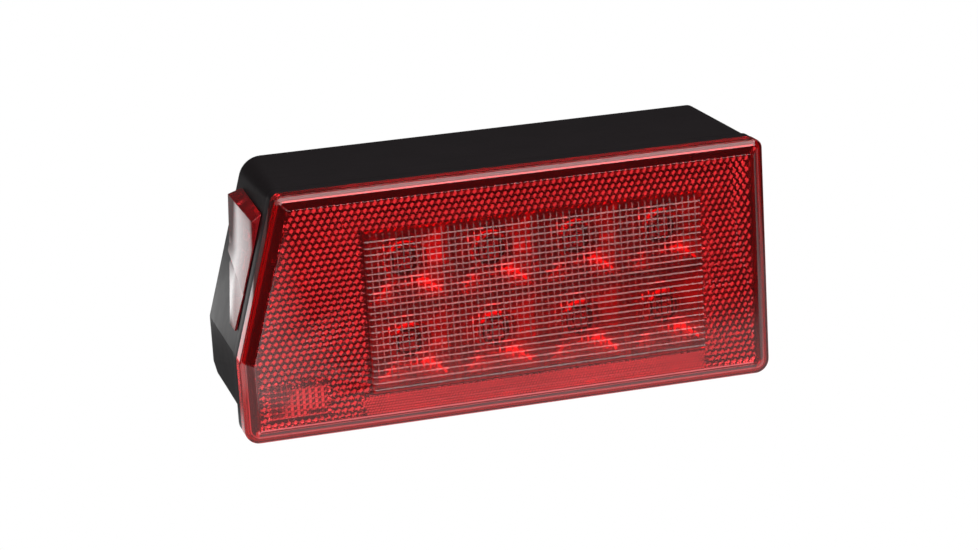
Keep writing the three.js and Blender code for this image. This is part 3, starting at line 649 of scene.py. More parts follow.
def back_face(skin, boundary):
    """The inside of the raised centre: the pillow grid, a band and ribs of fine prisms, and the rest."""
    def pillow(u, v):
        return PILLOW_DOME * (2 - (2 * u - 1) ** 2 - (2 * v - 1) ** 2)

    def in_ribs(spot):
        return inside(spot, rib_box, 0) and (spot[0] - RIBS_LEFT) % RIB_PITCH < RIB_WIDTH

    thirds = (0, 1 / 3, 2 / 3)
    rim, window = square_grid(skin, INNER_FACE, (thirds, thirds), pillow)
    band = (window[0] - BAND_OVERHANG, 0, window[2], window[1] - BAND_GAP)
    rib_box = (RIBS_LEFT, RIBS_LOW, RIBS_LEFT + RIB_COUNT * RIB_PITCH, RIBS_LOW + RIB_HEIGHT)
    fine_areas = (window, band, rib_box)

    def outside_fine_areas(spot):
        return not any(inside(spot, box, PRISM_CLEARANCE) for box in fine_areas)

    corners = honeycomb(PRISM_PITCH, PRISM_FILL, outside_fine_areas)
    corners += honeycomb(FINE_PITCH, FINE_FILL, lambda spot: inside(spot, band, 0) or in_ribs(spot))
    prisms = skin.add((x, INNER_FACE + height, z) for x, z, height in corners)
    fill_face(skin, boundary, rim, window, prisms)


def main_lens():
    skin = Skin()
    # (inset, depth) pairs: the outside from the raised centre to the skirt's end, then the inside
    profile = [(RIM_WIDTH + CENTRE_FILLET, -PLATEAU_RISE)]
    profile += [(RIM_WIDTH + CENTRE_FILLET * (0.4 - s), -PLATEAU_RISE + CENTRE_FILLET * 0.75 * (1 - c))
                for s, c in quarter(3, 10, 40)]
    profile += RIM_FACET
    width, depth = OUTER_ROUND
    profile += [(width * (1 - s), RIM_FACET[-1][1] + depth * (1 - c)) for s, c in quarter(5, 20, 90)]
    chamfered = SKIRT_DEPTH - SKIRT_CHAMFER
    profile += [(0, chamfered), (SKIRT_CHAMFER, SKIRT_DEPTH)]
    profile += [(LENS_WALL - SKIRT_CHAMFER, SKIRT_DEPTH), (LENS_WALL, chamfered)]
    profile += [(LENS_WALL, LENS_WALL + 0.4), (LENS_WALL + 0.15, LENS_WALL + 0.12)]
    profile += [(LENS_WALL + 0.3, LENS_WALL - 0.15), (RIM_WIDTH + BEVEL_WALL, INNER_FACE)]
    rings = skin.bridge([skin.ring(rim_outline(inset), y) for inset, y in profile])
    front_face(skin, rings[0])
    back_face(skin, rings[-1])
    finish_piece(to_object("lens", skin), "red_lens", "main_lens", sharp=20)


# ---------------------------------------------------------------- housing

LED_CENTRE = (13.5, 43.7)
LED_PITCH = (33, 31)
LIGHTS = [(LED_CENTRE[0] + (column - 1.5) * LED_PITCH[0], LED_CENTRE[1] + (0.5 - row) * LED_PITCH[1])
          for row in range(2) for column in range(4)]
BOARD_FRONT = 14.4
BOARD_BACK = 16.0
BOARD_SIZE = (150, 68)
SCREW_INSET = 4.5
SCREW_REACH = [size / 2 - SCREW_INSET for size in BOARD_SIZE]
SCREWS = [(LED_CENTRE[0] + side * SCREW_REACH[0], LED_CENTRE[1] + end * SCREW_REACH[1])
          for end in (1, -1) for side in (-1, 1)]
STUD_HEIGHT = -lens_low.z / MM
STUD_PLACES = [-25.4, 25.4]
STUD_RADIUS = 3.175
GROMMET_HEIGHT = STUD_HEIGHT - 24
GROMMET_NECK = 6.5
LICENCE_CENTRE = (13.5, 44)
LICENCE_HOLE = (19, 9)  # half sizes, across and front to back
LICENCE_POSTS = 26  # from the licence light's centre to each post of its board
POST_RADIUS = 2.6
PIN_RADIUS = 1.2
PIN_REACH = 2.6  # the pin on each post stands this far above the underside of the board
BACK_INSIDE = BODY_DEPTH - BACK_WALL
FLOOR_INSIDE = FLOOR_HEIGHT + WALL
LICENCE_BOARD_LOW = FLOOR_INSIDE + 11
BOSS_RADIUS = 4
BOSS_BORE = (1.8, 11)  # radius, and depth behind the board
STUD_PAD = (10, 3)  # radius and height of the thick spot under each stud's head
INNER_ROUND = 1.2
FLANGE_ROUND = 0.45
EJECTOR_DEPTH = 0.25
EJECTOR_MARKS = [(x, z, 3) for x in (-70, 0, 70) for z in (18, 74) if (x, z) != (0, 18)]
EJECTOR_MARKS.append((0, 66, 1.6))

# the leaning wall's own axes: out of the wall, to the front, and up along the wall
MARKER_CENTRE_Y = 38
wall_draft = (BACK_INSET_LEFT - FRONT_INSET) / (BODY_DEPTH - FLANGE_BACK)
wall_up = Vector((LEAN_SLOPE, 0, 1)).normalized()
wall_forward = Vector((-wall_draft, -1, 0)).normalized()
wall_out = wall_forward.cross(wall_up).normalized()
wall_forward = wall_up.cross(wall_out)
wall_x = -WIDTH / 2 + FRONT_INSET + wall_draft * (MARKER_CENTRE_Y - FLANGE_BACK)
wall_turn = Matrix((wall_out, wall_forward, wall_up)).transposed().to_4x4()
WALL_FRAME = Matrix.Translation((wall_x, MARKER_CENTRE_Y, KINK_HEIGHT)) @ wall_turn


def wall_block(low, high):
    """A block drawn in the leaning wall's axes."""
    made = block(low, high)
    made.data.transform(WALL_FRAME)
    return made


def outer_shell():
    """The flange and the body behind it, one solid."""
    front, back = FLANGE_FRONT, FLANGE_BACK
    sections = [(rim_outline(FLANGE_INSET + FLANGE_ROUND * (1 - s)), front + FLANGE_ROUND * (1 - c))
                for s, c in quarter(3)]
    sections += [(rim_outline(FLANGE_INSET + FLANGE_ROUND * (1 - c)), back - FLANGE_ROUND * (1 - s))
                 for s, c in quarter(3)]
    shell = to_object("housing_shell", Skin().loft(sections))
    middle = (FLANGE_BACK + BODY_DEPTH) / 2
    sections = [(body_outline(0, y), y) for y in (FLANGE_BACK - OVERLAP, middle)]
    sections += [(body_outline(BACK_ROUND * (1 - c), BODY_DEPTH), BODY_DEPTH - BACK_ROUND * (1 - s))
                 for s, c in quarter(6)]
    return join(shell, to_object("tool", Skin().loft(sections)))


def hollow():
    """The space inside the housing."""
    front, back = FLANGE_FRONT - 1, BACK_INSIDE
    sections = [(body_outline(WALL, front), front)]
    sections += [(body_outline(WALL + INNER_ROUND * (1 - c), back), back - INNER_ROUND * (1 - s))
                 for s, c in quarter(3)]
    return to_object("tool", Skin().loft(sections))


def locating_lip():
    """The wall that stands up inside the lens skirt."""
    inset = LENS_WALL + GAP
    front, back = FLANGE_FRONT - LIP_DEPTH, FLANGE_FRONT + OVERLAP
    sections = [(inset + LIP_CHAMFER, front), (inset, front + LIP_CHAMFER), (inset, back)]
    lip = to_object("tool", Skin().loft([(rim_outline(inward), y) for inward, y in sections]))
    inside_lip = rim_outline(inset + LIP_THICKNESS)
    bore = to_object("tool", Skin().loft([(inside_lip, front - 1), (inside_lip, back + 1)]))
    return carve(lip, bore)


def board_boss(x, z):
    boss = rod(BOSS_RADIUS, x, z, BOARD_BACK + GAP, BACK_INSIDE + OVERLAP)
    radius, depth = BOSS_BORE
    return carve(boss, rod(radius, x, z, BOARD_BACK - 1, BOARD_BACK + depth))


def housing():
    shell = outer_shell()
    carve(shell, hollow())
    join(shell, locating_lip())
    for x, z in SCREWS:
        join(shell, board_boss(x, z))
    radius, height = STUD_PAD
    for x in STUD_PLACES:
        join(shell, rod(radius, x, STUD_HEIGHT, BACK_INSIDE - height, BACK_INSIDE + OVERLAP))
    x, y = LICENCE_CENTRE
    for side in (-1, 1):
        post_x = x + side * LICENCE_POSTS
        shoulder = post(POST_RADIUS, post_x, y, FLOOR_INSIDE - OVERLAP, LICENCE_BOARD_LOW - GAP)
        join(shell, shoulder)
        pin = post(PIN_RADIUS, post_x, y, FLOOR_INSIDE, LICENCE_BOARD_LOW + PIN_REACH)
        join(shell, pin)

    low, high, reach = MARKER_WINDOW
    carve(shell, wall_block((-WALL - 1, -reach, low), (1, reach, high)))
    half_x, half_y = LICENCE_HOLE
    window = block((x - half_x, y - half_y, FLOOR_HEIGHT - 1), (x + half_x, y + half_y, FLOOR_INSIDE + 1))
    carve(shell, window)
    neck = STUD_RADIUS + GAP
    for x in STUD_PLACES:
        hole = block((x - neck, BACK_INSIDE - height - 1, STUD_HEIGHT - neck),
                     (x + neck, BODY_DEPTH + 1, STUD_HEIGHT + neck))
        carve(shell, hole)
    outlet = rod(GROMMET_NECK + GAP, 0, GROMMET_HEIGHT, BACK_INSIDE - 1, BODY_DEPTH + 1, 48)
    carve(shell, outlet)
    for x, z, radius in EJECTOR_MARKS:
        carve(shell, rod(radius, x, z, BODY_DEPTH - EJECTOR_DEPTH, BODY_DEPTH + 1, 24))
    finish_piece(shell, "black_plastic", "housing")


WELD_INSET = 0.36
WELD_STEP = 0.8
WELD_RADII = (0.15, 0.32)  # of the bead, where it is thinnest and thickest
WELD_RIPPLES = 0.9  # fine waves in the bead's thickness, and coarser blobs, per millimetre
WELD_BLOBS = 0.23
WELD_SIDES = 6
WELD_SHARP = 40


def weld_seam():
    """The bead of melted plastic squeezed out where the lens is welded to the flange."""
    skin = Skin()
    outline = rim_outline(WELD_INSET, 12)
    centres = []
    for i, start in enumerate(outline):
        end = outline[(i + 1) % len(outline)]
        run = (end[0] - start[0], end[1] - start[1])
        count = max(1, round(math.dist(start, end) / WELD_STEP))
        out = Vector((run[1], -run[0])).normalized()
        centres += [(start[0] + run[0] * k / count, start[1] + run[1] * k / count, out) for k in range(count)]
    rings = []
    thinnest, thickest = WELD_RADII
    for x, z, out in centres:
        ripple = noise.noise(Vector((x, 0, z)) * WELD_RIPPLES)
        blob = max(0, noise.noise(Vector((x, 9, z)) * WELD_BLOBS))
        swell = 0.5 + 0.5 * ripple + 0.5 * blob
        radius = thinnest + (thickest - thinnest) * min(1, max(0, swell))
        ring = []
        for k in range(WELD_SIDES):
            angle = 2 * math.pi * k / WELD_SIDES
            off = out * radius * math.cos(angle)
            ring.append((x + off.x, SKIRT_DEPTH + GAP / 2 + radius * math.sin(angle), z + off.y))
        rings.append(skin.add(ring))
    skin.bridge(rings + rings[:1])
    dress(to_object("weld_bead", skin), "weld_flash", sharp=WELD_SHARP)


def weld_joint():
    """The thin layer of fused plastic between the lens skirt and the flange."""
    skin = Skin()
    outer, inner, clearance = 0.8, LENS_WALL - 0.1, 0.05
    front, back = SKIRT_DEPTH + clearance, FLANGE_FRONT - clearance
    corners = [(outer, front), (inner, front), (inner, back), (outer, back)]
    sides = [skin.ring(rim_outline(inset), y) for inset, y in corners]
    skin.bridge(sides + sides[:1])
    dress(to_object("weld_joint", skin), "fused_red", sharp=WELD_SHARP)


# ---------------------------------------------------------------- side marker lens

MARKER_LENGTH = 41
STRIP_PROUD = 0.8
# the raised block's outline at its back and front: (out, up the wall) pairs
MARKER_ENDS = (
    [(GAP, 28.8), (STRIP_PROUD, 28.8), (STRIP_PROUD, 31.6), (5.2, 50.1), (GAP, 53.4)],
    [(GAP, 21.5), (STRIP_PROUD, 21.5), (STRIP_PROUD, 39), (3.1, 48.9), (GAP, 52.5)],
)
STRIP_CORNERS = [(-14, 25.5), (-14, 29), (20.5, 24), (20.5, 8), (11, 8)]  # forward, and up the wall
STRIP_FOOT = 1.2  # how far the strip's lower end stands off the wall; it thins out upwards
STRIP_TAPER = 0.038
MARKER_WINDOW = (27, 46, 13)  # low end, high end and half length of the hole behind the marker
MARKER_LIGHTS = (31, 42)


def marker_lens():
    skin = Skin()
    half = MARKER_LENGTH / 2
    rings = [skin.add((out, y, up) for out, up in end) for y, end in zip((-half, half), MARKER_ENDS)]
    skin.bridge(rings)
    skin.cap(*rings)
    lens = bevel(to_object("side_marker", skin), 0.45, angle=20)
    plate = Skin()
    lowest = min(up for _, up in STRIP_CORNERS)
    outer_face = [(STRIP_FOOT - STRIP_TAPER * (up - lowest), forward, up) for forward, up in STRIP_CORNERS]
    rings = [plate.add((GAP, forward, up) for forward, up in STRIP_CORNERS), plate.add(outer_face)]
    plate.bridge(rings)
    plate.cap(*rings)
    join(lens, bevel(to_object("tool", plate), 0.15, 2))
    low, high, reach = MARKER_WINDOW
    spigot = block((-WALL, GAP - reach, low + GAP), (GAP + 0.15, reach - GAP, high - GAP))
    join(lens, spigot)
    carve(lens, marker_pocket())
    finish_piece(lens, "marker_lens", "side_marker_lens", LAMP @ WALL_FRAME)


def marker_pocket():
    """The hollow behind the window; its floor is ribbed, and the ribs are the marker's optics."""
    skin = Skin()
    ribs, depth, rise, skin_wall = 24, -0.6, 0.5, 1.5
    low = MARKER_WINDOW[0] + GAP + skin_wall
    high = MARKER_WINDOW[1] - GAP - skin_wall
    half = MARKER_WINDOW[2] - GAP - skin_wall
    floor = [(depth - (rise if i % 2 else 0), half * (i / ribs - 1)) for i in range(ribs * 2 + 1)]
    sides = [(-WALL - 1, half), (-WALL - 1, -half)]
    rings = [skin.add((x, y, up) for x, y in floor + sides) for up in (low, high)]
    skin.bridge(rings)
    skin.cap(*rings)
    return to_object("tool", skin)


# ---------------------------------------------------------------- licence lens

def licence_lens():
    """A plate under the housing's floor, with a ribbed window that stands up into the hole."""
    x, y = LICENCE_CENTRE
    under = FLOOR_HEIGHT - GAP
    half_x, half_y = 23, 12
    plate = Skin()
    levels = [(-1.2, under - 2), (0, under - 0.8), (0, under)]
    rings = []
    for grow, z in levels:
        rings.append(plate.add((x + sx * (half_x + grow), y + sy * (half_y + grow), z)
                               for sx, sy in ((-1, 1), (1, 1), (1, -1), (-1, -1))))
    plate.bridge(rings)
    plate.cap(rings[0], rings[-1])
    lens = bevel(to_object("licence_window", plate), 0.5, angle=20)
    half_x, half_y = (half - GAP for half in LICENCE_HOLE)
    spigot = block((x - half_x, y - half_y, under - OVERLAP), (x + half_x, y + half_y, FLOOR_INSIDE))
    join(lens, spigot)
    pocket = Skin()
    wall, ribs, rise = 1.4, 22, 0.55
    half_x, half_y = half_x - wall, half_y - wall
    ribbed = [(-half_x + half_x * i / ribs, under + (rise if i % 2 else 0)) for i in range(2 * ribs + 1)]
    section = ribbed + [(half_x, FLOOR_INSIDE + 1), (-half_x, FLOOR_INSIDE + 1)]
    ends = [pocket.add((x + px, y + side * half_y, pz) for px, pz in section) for side in (-1, 1)]
    pocket.bridge(ends)
    pocket.cap(*ends)
    carve(lens, to_object("tool", pocket))
    finish_piece(lens, "clear_lens", "licence_lens")


# ---------------------------------------------------------------- reflector and light sources

REFLECTOR_FRONT = 3.2
REFLECTOR_WALL = 1.2
BOWL_DEPTH = 7.5
BOWL_LAND = 0.5  # flat strip round each bowl's edge
BOWL_SIDES = 16  # points along one side of a bowl's square edge
BOWL_FLOOR_RADIUS = 8.6
SIDE_DROP = (0.2, 0.45)  # a bowl's left and right walls fall this share of the depth at once
COLLAR_OUTER = 8.4  # the collar at the bottom of a bowl: its foot, and the crest's radii
COLLAR_CREST = (6.4, 5.6)
COLLAR_SLOPES = (12, 19, 26, 33, 40)  # degrees, from the foot up to the crest


def bowl_edge(shrink):
    """Points round the square edge of a bowl, from its lower left corner."""
    half = [pitch / 2 - shrink for pitch in LED_PITCH]
    corners = [(-1, -1), (1, -1), (1, 1), (-1, 1)]
    points = []
    for (ax, az), (bx, bz) in zip(corners, corners[1:] + corners[:1]):
        for i in range(BOWL_SIDES):
            t = i / BOWL_SIDES
            points.append(((ax + (bx - ax) * t) * half[0], (az + (bz - az) * t) * half[1]))
    return points


def collar_profile():
    """(radius, y) pairs over a collar: up its slopes, over the crest and down inside it."""
    floor = REFLECTOR_FRONT + BOWL_DEPTH
    step = (COLLAR_OUTER - COLLAR_CREST[0]) / len(COLLAR_SLOPES)
    profile = [(COLLAR_OUTER, floor)]
    for slope in COLLAR_SLOPES:
        radius, y = profile[-1]
        profile.append((radius - step, y - step * math.tan(math.radians(slope))))
    crest = profile[-1][1]
    middle, inner = sum(COLLAR_CREST) / 2, COLLAR_CREST[1]
    profile += [(middle + 0.2, crest - 0.12), (middle - 0.1, crest - 0.1), (inner, crest + 0.2)]
    return profile + [(inner - 0.2, crest + 0.7), (inner - 0.2, floor + REFLECTOR_WALL)]


def bowl_section():
    """The rings of points of one bowl about its centre: down its front, over the collar, and back."""
    edge, land = bowl_edge(0), bowl_edge(BOWL_LAND)
    rounds = [Vector(p).normalized() for p in edge]
    steps = [i / 10 for i in range(11)]

    def flat(outline, y):
        return [(x, y, z) for x, z in outline]

    def wall(t, y):
        """From the square edge at t = 0 to the round floor at t = 1."""
        round_wall = t * (1.1 - 0.1 * t)
        side_wall = SIDE_DROP[1] * min(1, t / SIDE_DROP[0]) + (1 - SIDE_DROP[1]) * t
        reach = t * BOWL_FLOOR_RADIUS
        return [((1 - t) * x + reach * r.x,
                 y + BOWL_DEPTH * (round_wall + (side_wall - round_wall) * r.x ** 4),
                 (1 - t) * z + reach * r.y) for (x, z), r in zip(land, rounds)]

    front, back = REFLECTOR_FRONT, REFLECTOR_FRONT + REFLECTOR_WALL
    rings = [flat(edge, front)] + [wall(t, front) for t in steps]
    rings += [flat([r * radius for r in rounds], y) for radius, y in collar_profile()]
    return rings + [wall(t, back) for t in reversed(steps)] + [flat(edge, back)]


def reflector():
    """Eight bowls in one moulded sheet, each with a raised collar round its light source."""
    skin = Skin()
    section = bowl_section()
    for cx, cz in LIGHTS:
        rings = [skin.add((cx + x, y, cz + z) for x, y, z in ring) for ring in section]
        skin.bridge(rings + rings[:1])
    piece = to_object("reflector_bowls", skin)
    pin, front, back = 1.2, REFLECTOR_FRONT + REFLECTOR_WALL / 2, BOARD_BACK + 0.8
    for side in (-1, 1):
        for end in (-1, 1):
            x, z = LED_CENTRE[0] + side * LED_PITCH[0], LED_CENTRE[1] + end * (LED_PITCH[1] - pin)
            join(piece, rod(pin, x, z, front, back, 20))
    finish_piece(piece, "mirror_coat", "reflector_plate", sharp=40)


def light_source(name, node, place):
    """A square ceramic package with a lens dome, soldered by two end caps. It looks along -Y."""
    half, front, back = 3.5, -1.7, -0.3
    package = bevel(to_object(name, Skin().box((-half, front, -half), (half, back, half))), 0.25, 2)
    cup, cup_floor = 2.95, -1.25
    carve(package, rod(cup, 0, 0, front - 0.2, cup_floor))
    die = block((-0.8, cup_floor - 0.25, -0.8), (0.8, cup_floor + 0.15, 0.8))
    join(package, die)
    for side in (-1, 1):
        cap = block((side * 3.05 - 0.35, -1.05, -1.6), (side * 3.05 + 0.35, back - 0.02, 1.6))
        join(package, bevel(cap, 0.08, 2))
    finish_piece(package, "led_package", node, place)
    radius, rise = 2.9, 2.95
    arc = [(radius * s, front - 0.05 - rise * c) for s, c in quarter(10, 4, 90)]
    dome = Skin().turned(arc + [(radius, front + 0.4)], sides=32)
    dress(to_object(name + "_dome", dome), "led_dome", place, sharp=180)


MARKER_BOARD_DEPTH = 9
LICENCE_LIGHTS = (-9, 9)  # across, from the licence light's centre


def light_sources():
    for i, (x, z) in enumerate(LIGHTS):
        light_source(f"light_{i + 1}", f"led_{i + 1}", LAMP @ Matrix.Translation((x, BOARD_FRONT, z)))
    turned_out = Matrix.Rotation(math.radians(90), 4, "Z")
    for i, along in enumerate(MARKER_LIGHTS):
        place = LAMP @ WALL_FRAME @ Matrix.Translation((-MARKER_BOARD_DEPTH, 0, along)) @ turned_out
        light_source(f"marker_light_{i + 1}", f"marker_led_{i + 1}", place)
    turned_down = Matrix.Rotation(math.radians(90), 4, "X")
    for i, offset in enumerate(LICENCE_LIGHTS):
        spot = (LICENCE_CENTRE[0] + offset, LICENCE_CENTRE[1], LICENCE_BOARD_LOW)
        place = LAMP @ Matrix.Translation(spot) @ turned_down
        light_source(f"licence_light_{i + 1}", f"licence_led_{i + 1}", place)


# ---------------------------------------------------------------- mounting hardware

THREAD_PITCH = 1.27
THREAD_DEPTH = 0.72
THREAD_START = 6  # behind the seat of the stud's head
THREAD_SIDES = 32
THREAD_STEPS = 8  # rings of points in each turn
TIP_CHAMFER = 0.8
STUD_TIP = BODY_DEPTH + 25
BRACKET = 5  # thickness of the bracket plate that the washers press on
WASHER_THICKNESS = 1.6


def stud(side, x):
    """Carriage bolt: domed head, square neck, rolled 1/4-20 thread."""
    seat = BACK_INSIDE - STUD_PAD[1] - GAP
    radius, dome, rim, edge = 7, 2.5, 0.7, 0.15
    skin = Skin()
    head = [(radius * s, seat - rim - dome * c) for s, c in quarter(8, 8, 90)]
    head += [(radius, seat - edge), (radius - edge, seat)]
    rings = [skin.ring(circle(x, STUD_HEIGHT, size, THREAD_SIDES), y) for size, y in head]
    rings.append(skin.ring(circle(x, STUD_HEIGHT, STUD_RADIUS, THREAD_SIDES), seat))
    start = seat + THREAD_START
    steps = int((STUD_TIP - start) / THREAD_PITCH * THREAD_STEPS)
    for step in range(steps + 1):
        y = start + (STUD_TIP - start) * step / steps
        ring = []
        for i in range(THREAD_SIDES):
            turn = (y / THREAD_PITCH - i / THREAD_SIDES) % 1
            ridge = min(1, max(0, 1.6 * abs(2 * turn - 1) - 0.3))
            run_in = min(1, max(0, (y - start) / 2))
            threaded = STUD_RADIUS - THREAD_DEPTH * (1 - ridge) * run_in
            pointed = STUD_RADIUS - TIP_CHAMFER + max(0, (STUD_TIP - y)) * 0.9
            radius = min(threaded, pointed)
            angle = 2 * math.pi * i / THREAD_SIDES
            ring.append((x + radius * math.cos(angle), y, STUD_HEIGHT + radius * math.sin(angle)))
        rings.append(skin.add(ring))
    skin.bridge(rings)
    skin.cap(rings[0], rings[-1])
    piece = to_object(f"threaded_stud_{side}", skin)
    neck = block((x - STUD_RADIUS, seat - OVERLAP, STUD_HEIGHT - STUD_RADIUS),
                 (x + STUD_RADIUS, BODY_DEPTH - 1, STUD_HEIGHT + STUD_RADIUS))
    join(piece, bevel(neck, 0.3, 2))
    finish_piece(piece, "zinc_steel", f"stud_{side}", sharp=50)


def washer(side, x, front):
    outer, inner, edge, dulled = 8, STUD_RADIUS + GAP, 0.25, 0.07
    back = front + WASHER_THICKNESS
    profile = [(inner, front + edge), (inner + edge, front), (outer - edge, front)]
    profile += [(outer - dulled, front + dulled), (outer, front + edge), (outer, back - edge)]
    profile += [(outer - edge, back), (inner + edge, back), (inner, back - edge)]
    piece = to_object(f"washer_{side}", Skin().turned(profile, x, STUD_HEIGHT, 64, bored=True))
    finish_piece(piece, "zinc_steel", f"flat_washer_{side}")


def spring_washer(side, x, front):
    """A square-section coil of just under one turn, its ends sprung apart."""
    outer, inner, thick, spring, sides = 6.2, STUD_RADIUS + GAP, 1.25, 0.35, 60
    section = [(inner, 0.15), (inner + 0.15, 0), (outer - 0.2, 0), (outer, 0.2), (outer, thick - 0.2)]
    section += [(outer - 0.2, thick), (inner + 0.15, thick), (inner, thick - 0.15)]
    skin = Skin()
    rings = []
    for i in range(sides + 1):
        angle = math.radians(95 + 350 * i / sides)
        lift = front + spring * i / sides
        rings.append(skin.add((x + radius * math.cos(angle), lift + y, STUD_HEIGHT + radius * math.sin(angle))
                              for radius, y in section))
    skin.bridge(rings)
    skin.cap(rings[0], rings[-1])
    piece = to_object(f"spring_washer_{side}", skin)
    finish_piece(piece, "zinc_steel", f"lock_washer_{side}")


def nut(side, x, front):
    """Hexagon nut with turned-off corners and a countersunk bore."""
    flats, thickness, sides, sink = 11.1, 5.6, 96, 0.6
    bore, face = STUD_RADIUS + 0.1, flats / 2 - 0.15
    skin = Skin()

    def hexagon(angle):
        return flats / 2 / math.cos((angle + math.pi / 6) % (math.pi / 3) - math.pi / 6)

    def level(y, radius=None, slope=0.0):
        """A round ring of points or, with no radius, a hexagon whose corners are turned off at a slope."""
        ring = []
        for i in range(sides):
            angle = 2 * math.pi * i / sides
            reach = radius or hexagon(angle)
            height = STUD_HEIGHT + reach * math.cos(angle)
            ring.append((x + reach * math.sin(angle), y + slope * (reach - face), height))
        return skin.add(ring)

    back, slope = front + thickness, math.tan(math.radians(30))
    rings = [level(front + sink, bore), level(front, bore + sink), level(front, face)]
    rings += [level(front, slope=slope), level(back, slope=-slope)]
    rings += [level(back, face), level(back, bore + sink), level(back - sink, bore)]
    skin.bridge(rings + rings[:1])
    piece = to_object(f"nut_{side}", skin)
    finish_piece(piece, "zinc_steel", f"hex_nut_{side}")


def grommet():
    """A rubber ring in the back wall, with a flange on each side of it and a groove in its bore."""
    inner, outer = BACK_INSIDE - GAP, BODY_DEPTH + GAP
    neck, flange, bore = GROMMET_NECK, 9, 3.8
    profile = [(bore, inner - 1.7), (bore + 0.3, inner - 2), (flange - 1.4, inner - 2)]
    profile += [(flange - 0.6, inner - 0.8), (flange - 0.6, inner), (neck, inner), (neck, outer)]
    profile += [(flange - 0.2, outer), (flange, outer + 0.2)]
    profile += [(flange - 1 + s, outer + 1 + 0.9 * c) for s, c in reversed(quarter(5))]
    profile += [(bore + 2.6, outer + 2.1), (bore + 1.6, outer + 2.55), (bore + 0.5, outer + 2.6)]
    profile += [(bore, outer + 2.2), (bore, outer + 1.2), (bore + 0.35, outer + 0.9)]
    profile += [(bore + 0.35, outer - 0.2), (bore, outer - 0.5)]
    piece = to_object("grommet", Skin().turned(profile, 0, GROMMET_HEIGHT, 64, bored=True))
    finish_piece(piece, "black_rubber", "wire_grommet")


# ---------------------------------------------------------------- carried-over CAD pieces

CARRIED = {
    "circuit_board": ["main_board", "marker_board", "licence_board"],
    "chip": ["regulator", "input_diode", "brake_diode", "capacitor", *(f"resistor_{i}" for i in range(1, 5))],
    "zinc_steel": [f"board_screw_{i}" for i in range(1, 5)],
    "supply_lead": ["marker_lead_supply", "licence_lead_supply"],
    "ground_lead": ["marker_lead_ground", "licence_lead_ground"],
}


def dress_carried_pieces():
    for slot, names in CARRIED.items():
        for name in names:
            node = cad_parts[name]
            node.data.materials.clear()
            node.data.materials.append(FINISHES[slot].material)


housing()
weld_seam()
weld_joint()
main_lens()
marker_lens()
licence_lens()
reflector()
light_sources()
for side, x in zip(("left", "right"), STUD_PLACES):
    step = WASHER_THICKNESS + GAP
    stud(side, x)
    washer(side, x, BODY_DEPTH + BRACKET)
    spring_washer(side, x, BODY_DEPTH + BRACKET + step)
    nut(side, x, BODY_DEPTH + BRACKET + 2 * step)
grommet()
dress_carried_pieces()


# ---------------------------------------------------------------- floor, light and camera

FLOOR_BOX = (-0.75, -0.40, 0.75, 0.95)  # X and Y limits of the floor, in metres
# how brightly the floor shows in reflections: (Y, strength) from the front to the back
FLOOR_GLOW = [
    (-0.40, 0.05), (-0.19, 0.06), (-0.165, 0.2), (-0.125, 0.9), (-0.06, 0.9), (-0.02, 0.15), (0.95, 0.15),
]
# brighter patches: their strength, then the axis of each soft edge and where it starts and is full
GLOW_PATCHES = [
    (2.4, [("X", -0.01, -0.11), ("X", -0.26, -0.2), ("Y", -0.09, -0.14)]),
    (0.5, [("X", -0.08, -0.01), ("Y", 0.06, 0.13)]),
]
# a bright strip behind the lamp, running away from it to the left: (X, Y) at its ends, and half width
STREAK = ((-0.145, 0.12), (-0.259, 0.42), 0.08)
STREAK_GLOW = 1.75
STREAK_ENDS = (0.03, 0.05)  # half length of the soft edge at each end
ROOM_GLOW = 0.03


class Glow(Nodes):
    """The look of something that glows: one for the camera and another for reflections."""

    def __init__(self, owner):
        super().__init__(owner)
        self.tree.nodes.clear()

    def compute(self, operation, *values):
        return self.node("Math", dict(enumerate(values)), operation=operation).outputs[0]

    def fold(self, operation, first, *others):
        for other in others:
            first = self.compute(operation, first, other)
        return first

    def edge(self, value, start, end):
        """Rises smoothly from 0 at the start to 1 at the end."""
        return self.ramp(value, start, end, interpolation_type="SMOOTHSTEP")

    def patch(self, place, strength, edges):
        """A bright patch of floor inside soft edges."""
        parts = [self.edge(place[axis], start, end) for axis, start, end in edges]
        return self.fold("MULTIPLY", strength, *parts)

    def streak(self, place):
        """The bright strip, soft along its sides and at its ends."""
        (x0, y0), (x1, y1), half_width = STREAK
        lean = (x1 - x0) / (y1 - y0)
        near, far = STREAK_ENDS
        ends = [self.edge(place["Y"], y0 - near, y0 + near), self.edge(place["Y"], y1 + far, y1 - far)]
        drift = self.compute("MULTIPLY_ADD", place["Y"], -lean, y0 * lean - x0)
        off = self.compute("ABSOLUTE", self.compute("ADD", place["X"], drift))
        sides = self.edge(off, half_width * 1.4, half_width * 0.7)
        return self.fold("MULTIPLY", STREAK_GLOW, sides, *ends)

    def show(self, output, seen, unseen):
        ray = self.node("LightPath").outputs["Is Camera Ray"]
        mix = self.node("MixShader", {0: ray, 1: unseen.outputs[0], 2: seen.outputs[0]})
        self.node(output, {"Surface": mix.outputs[0]})


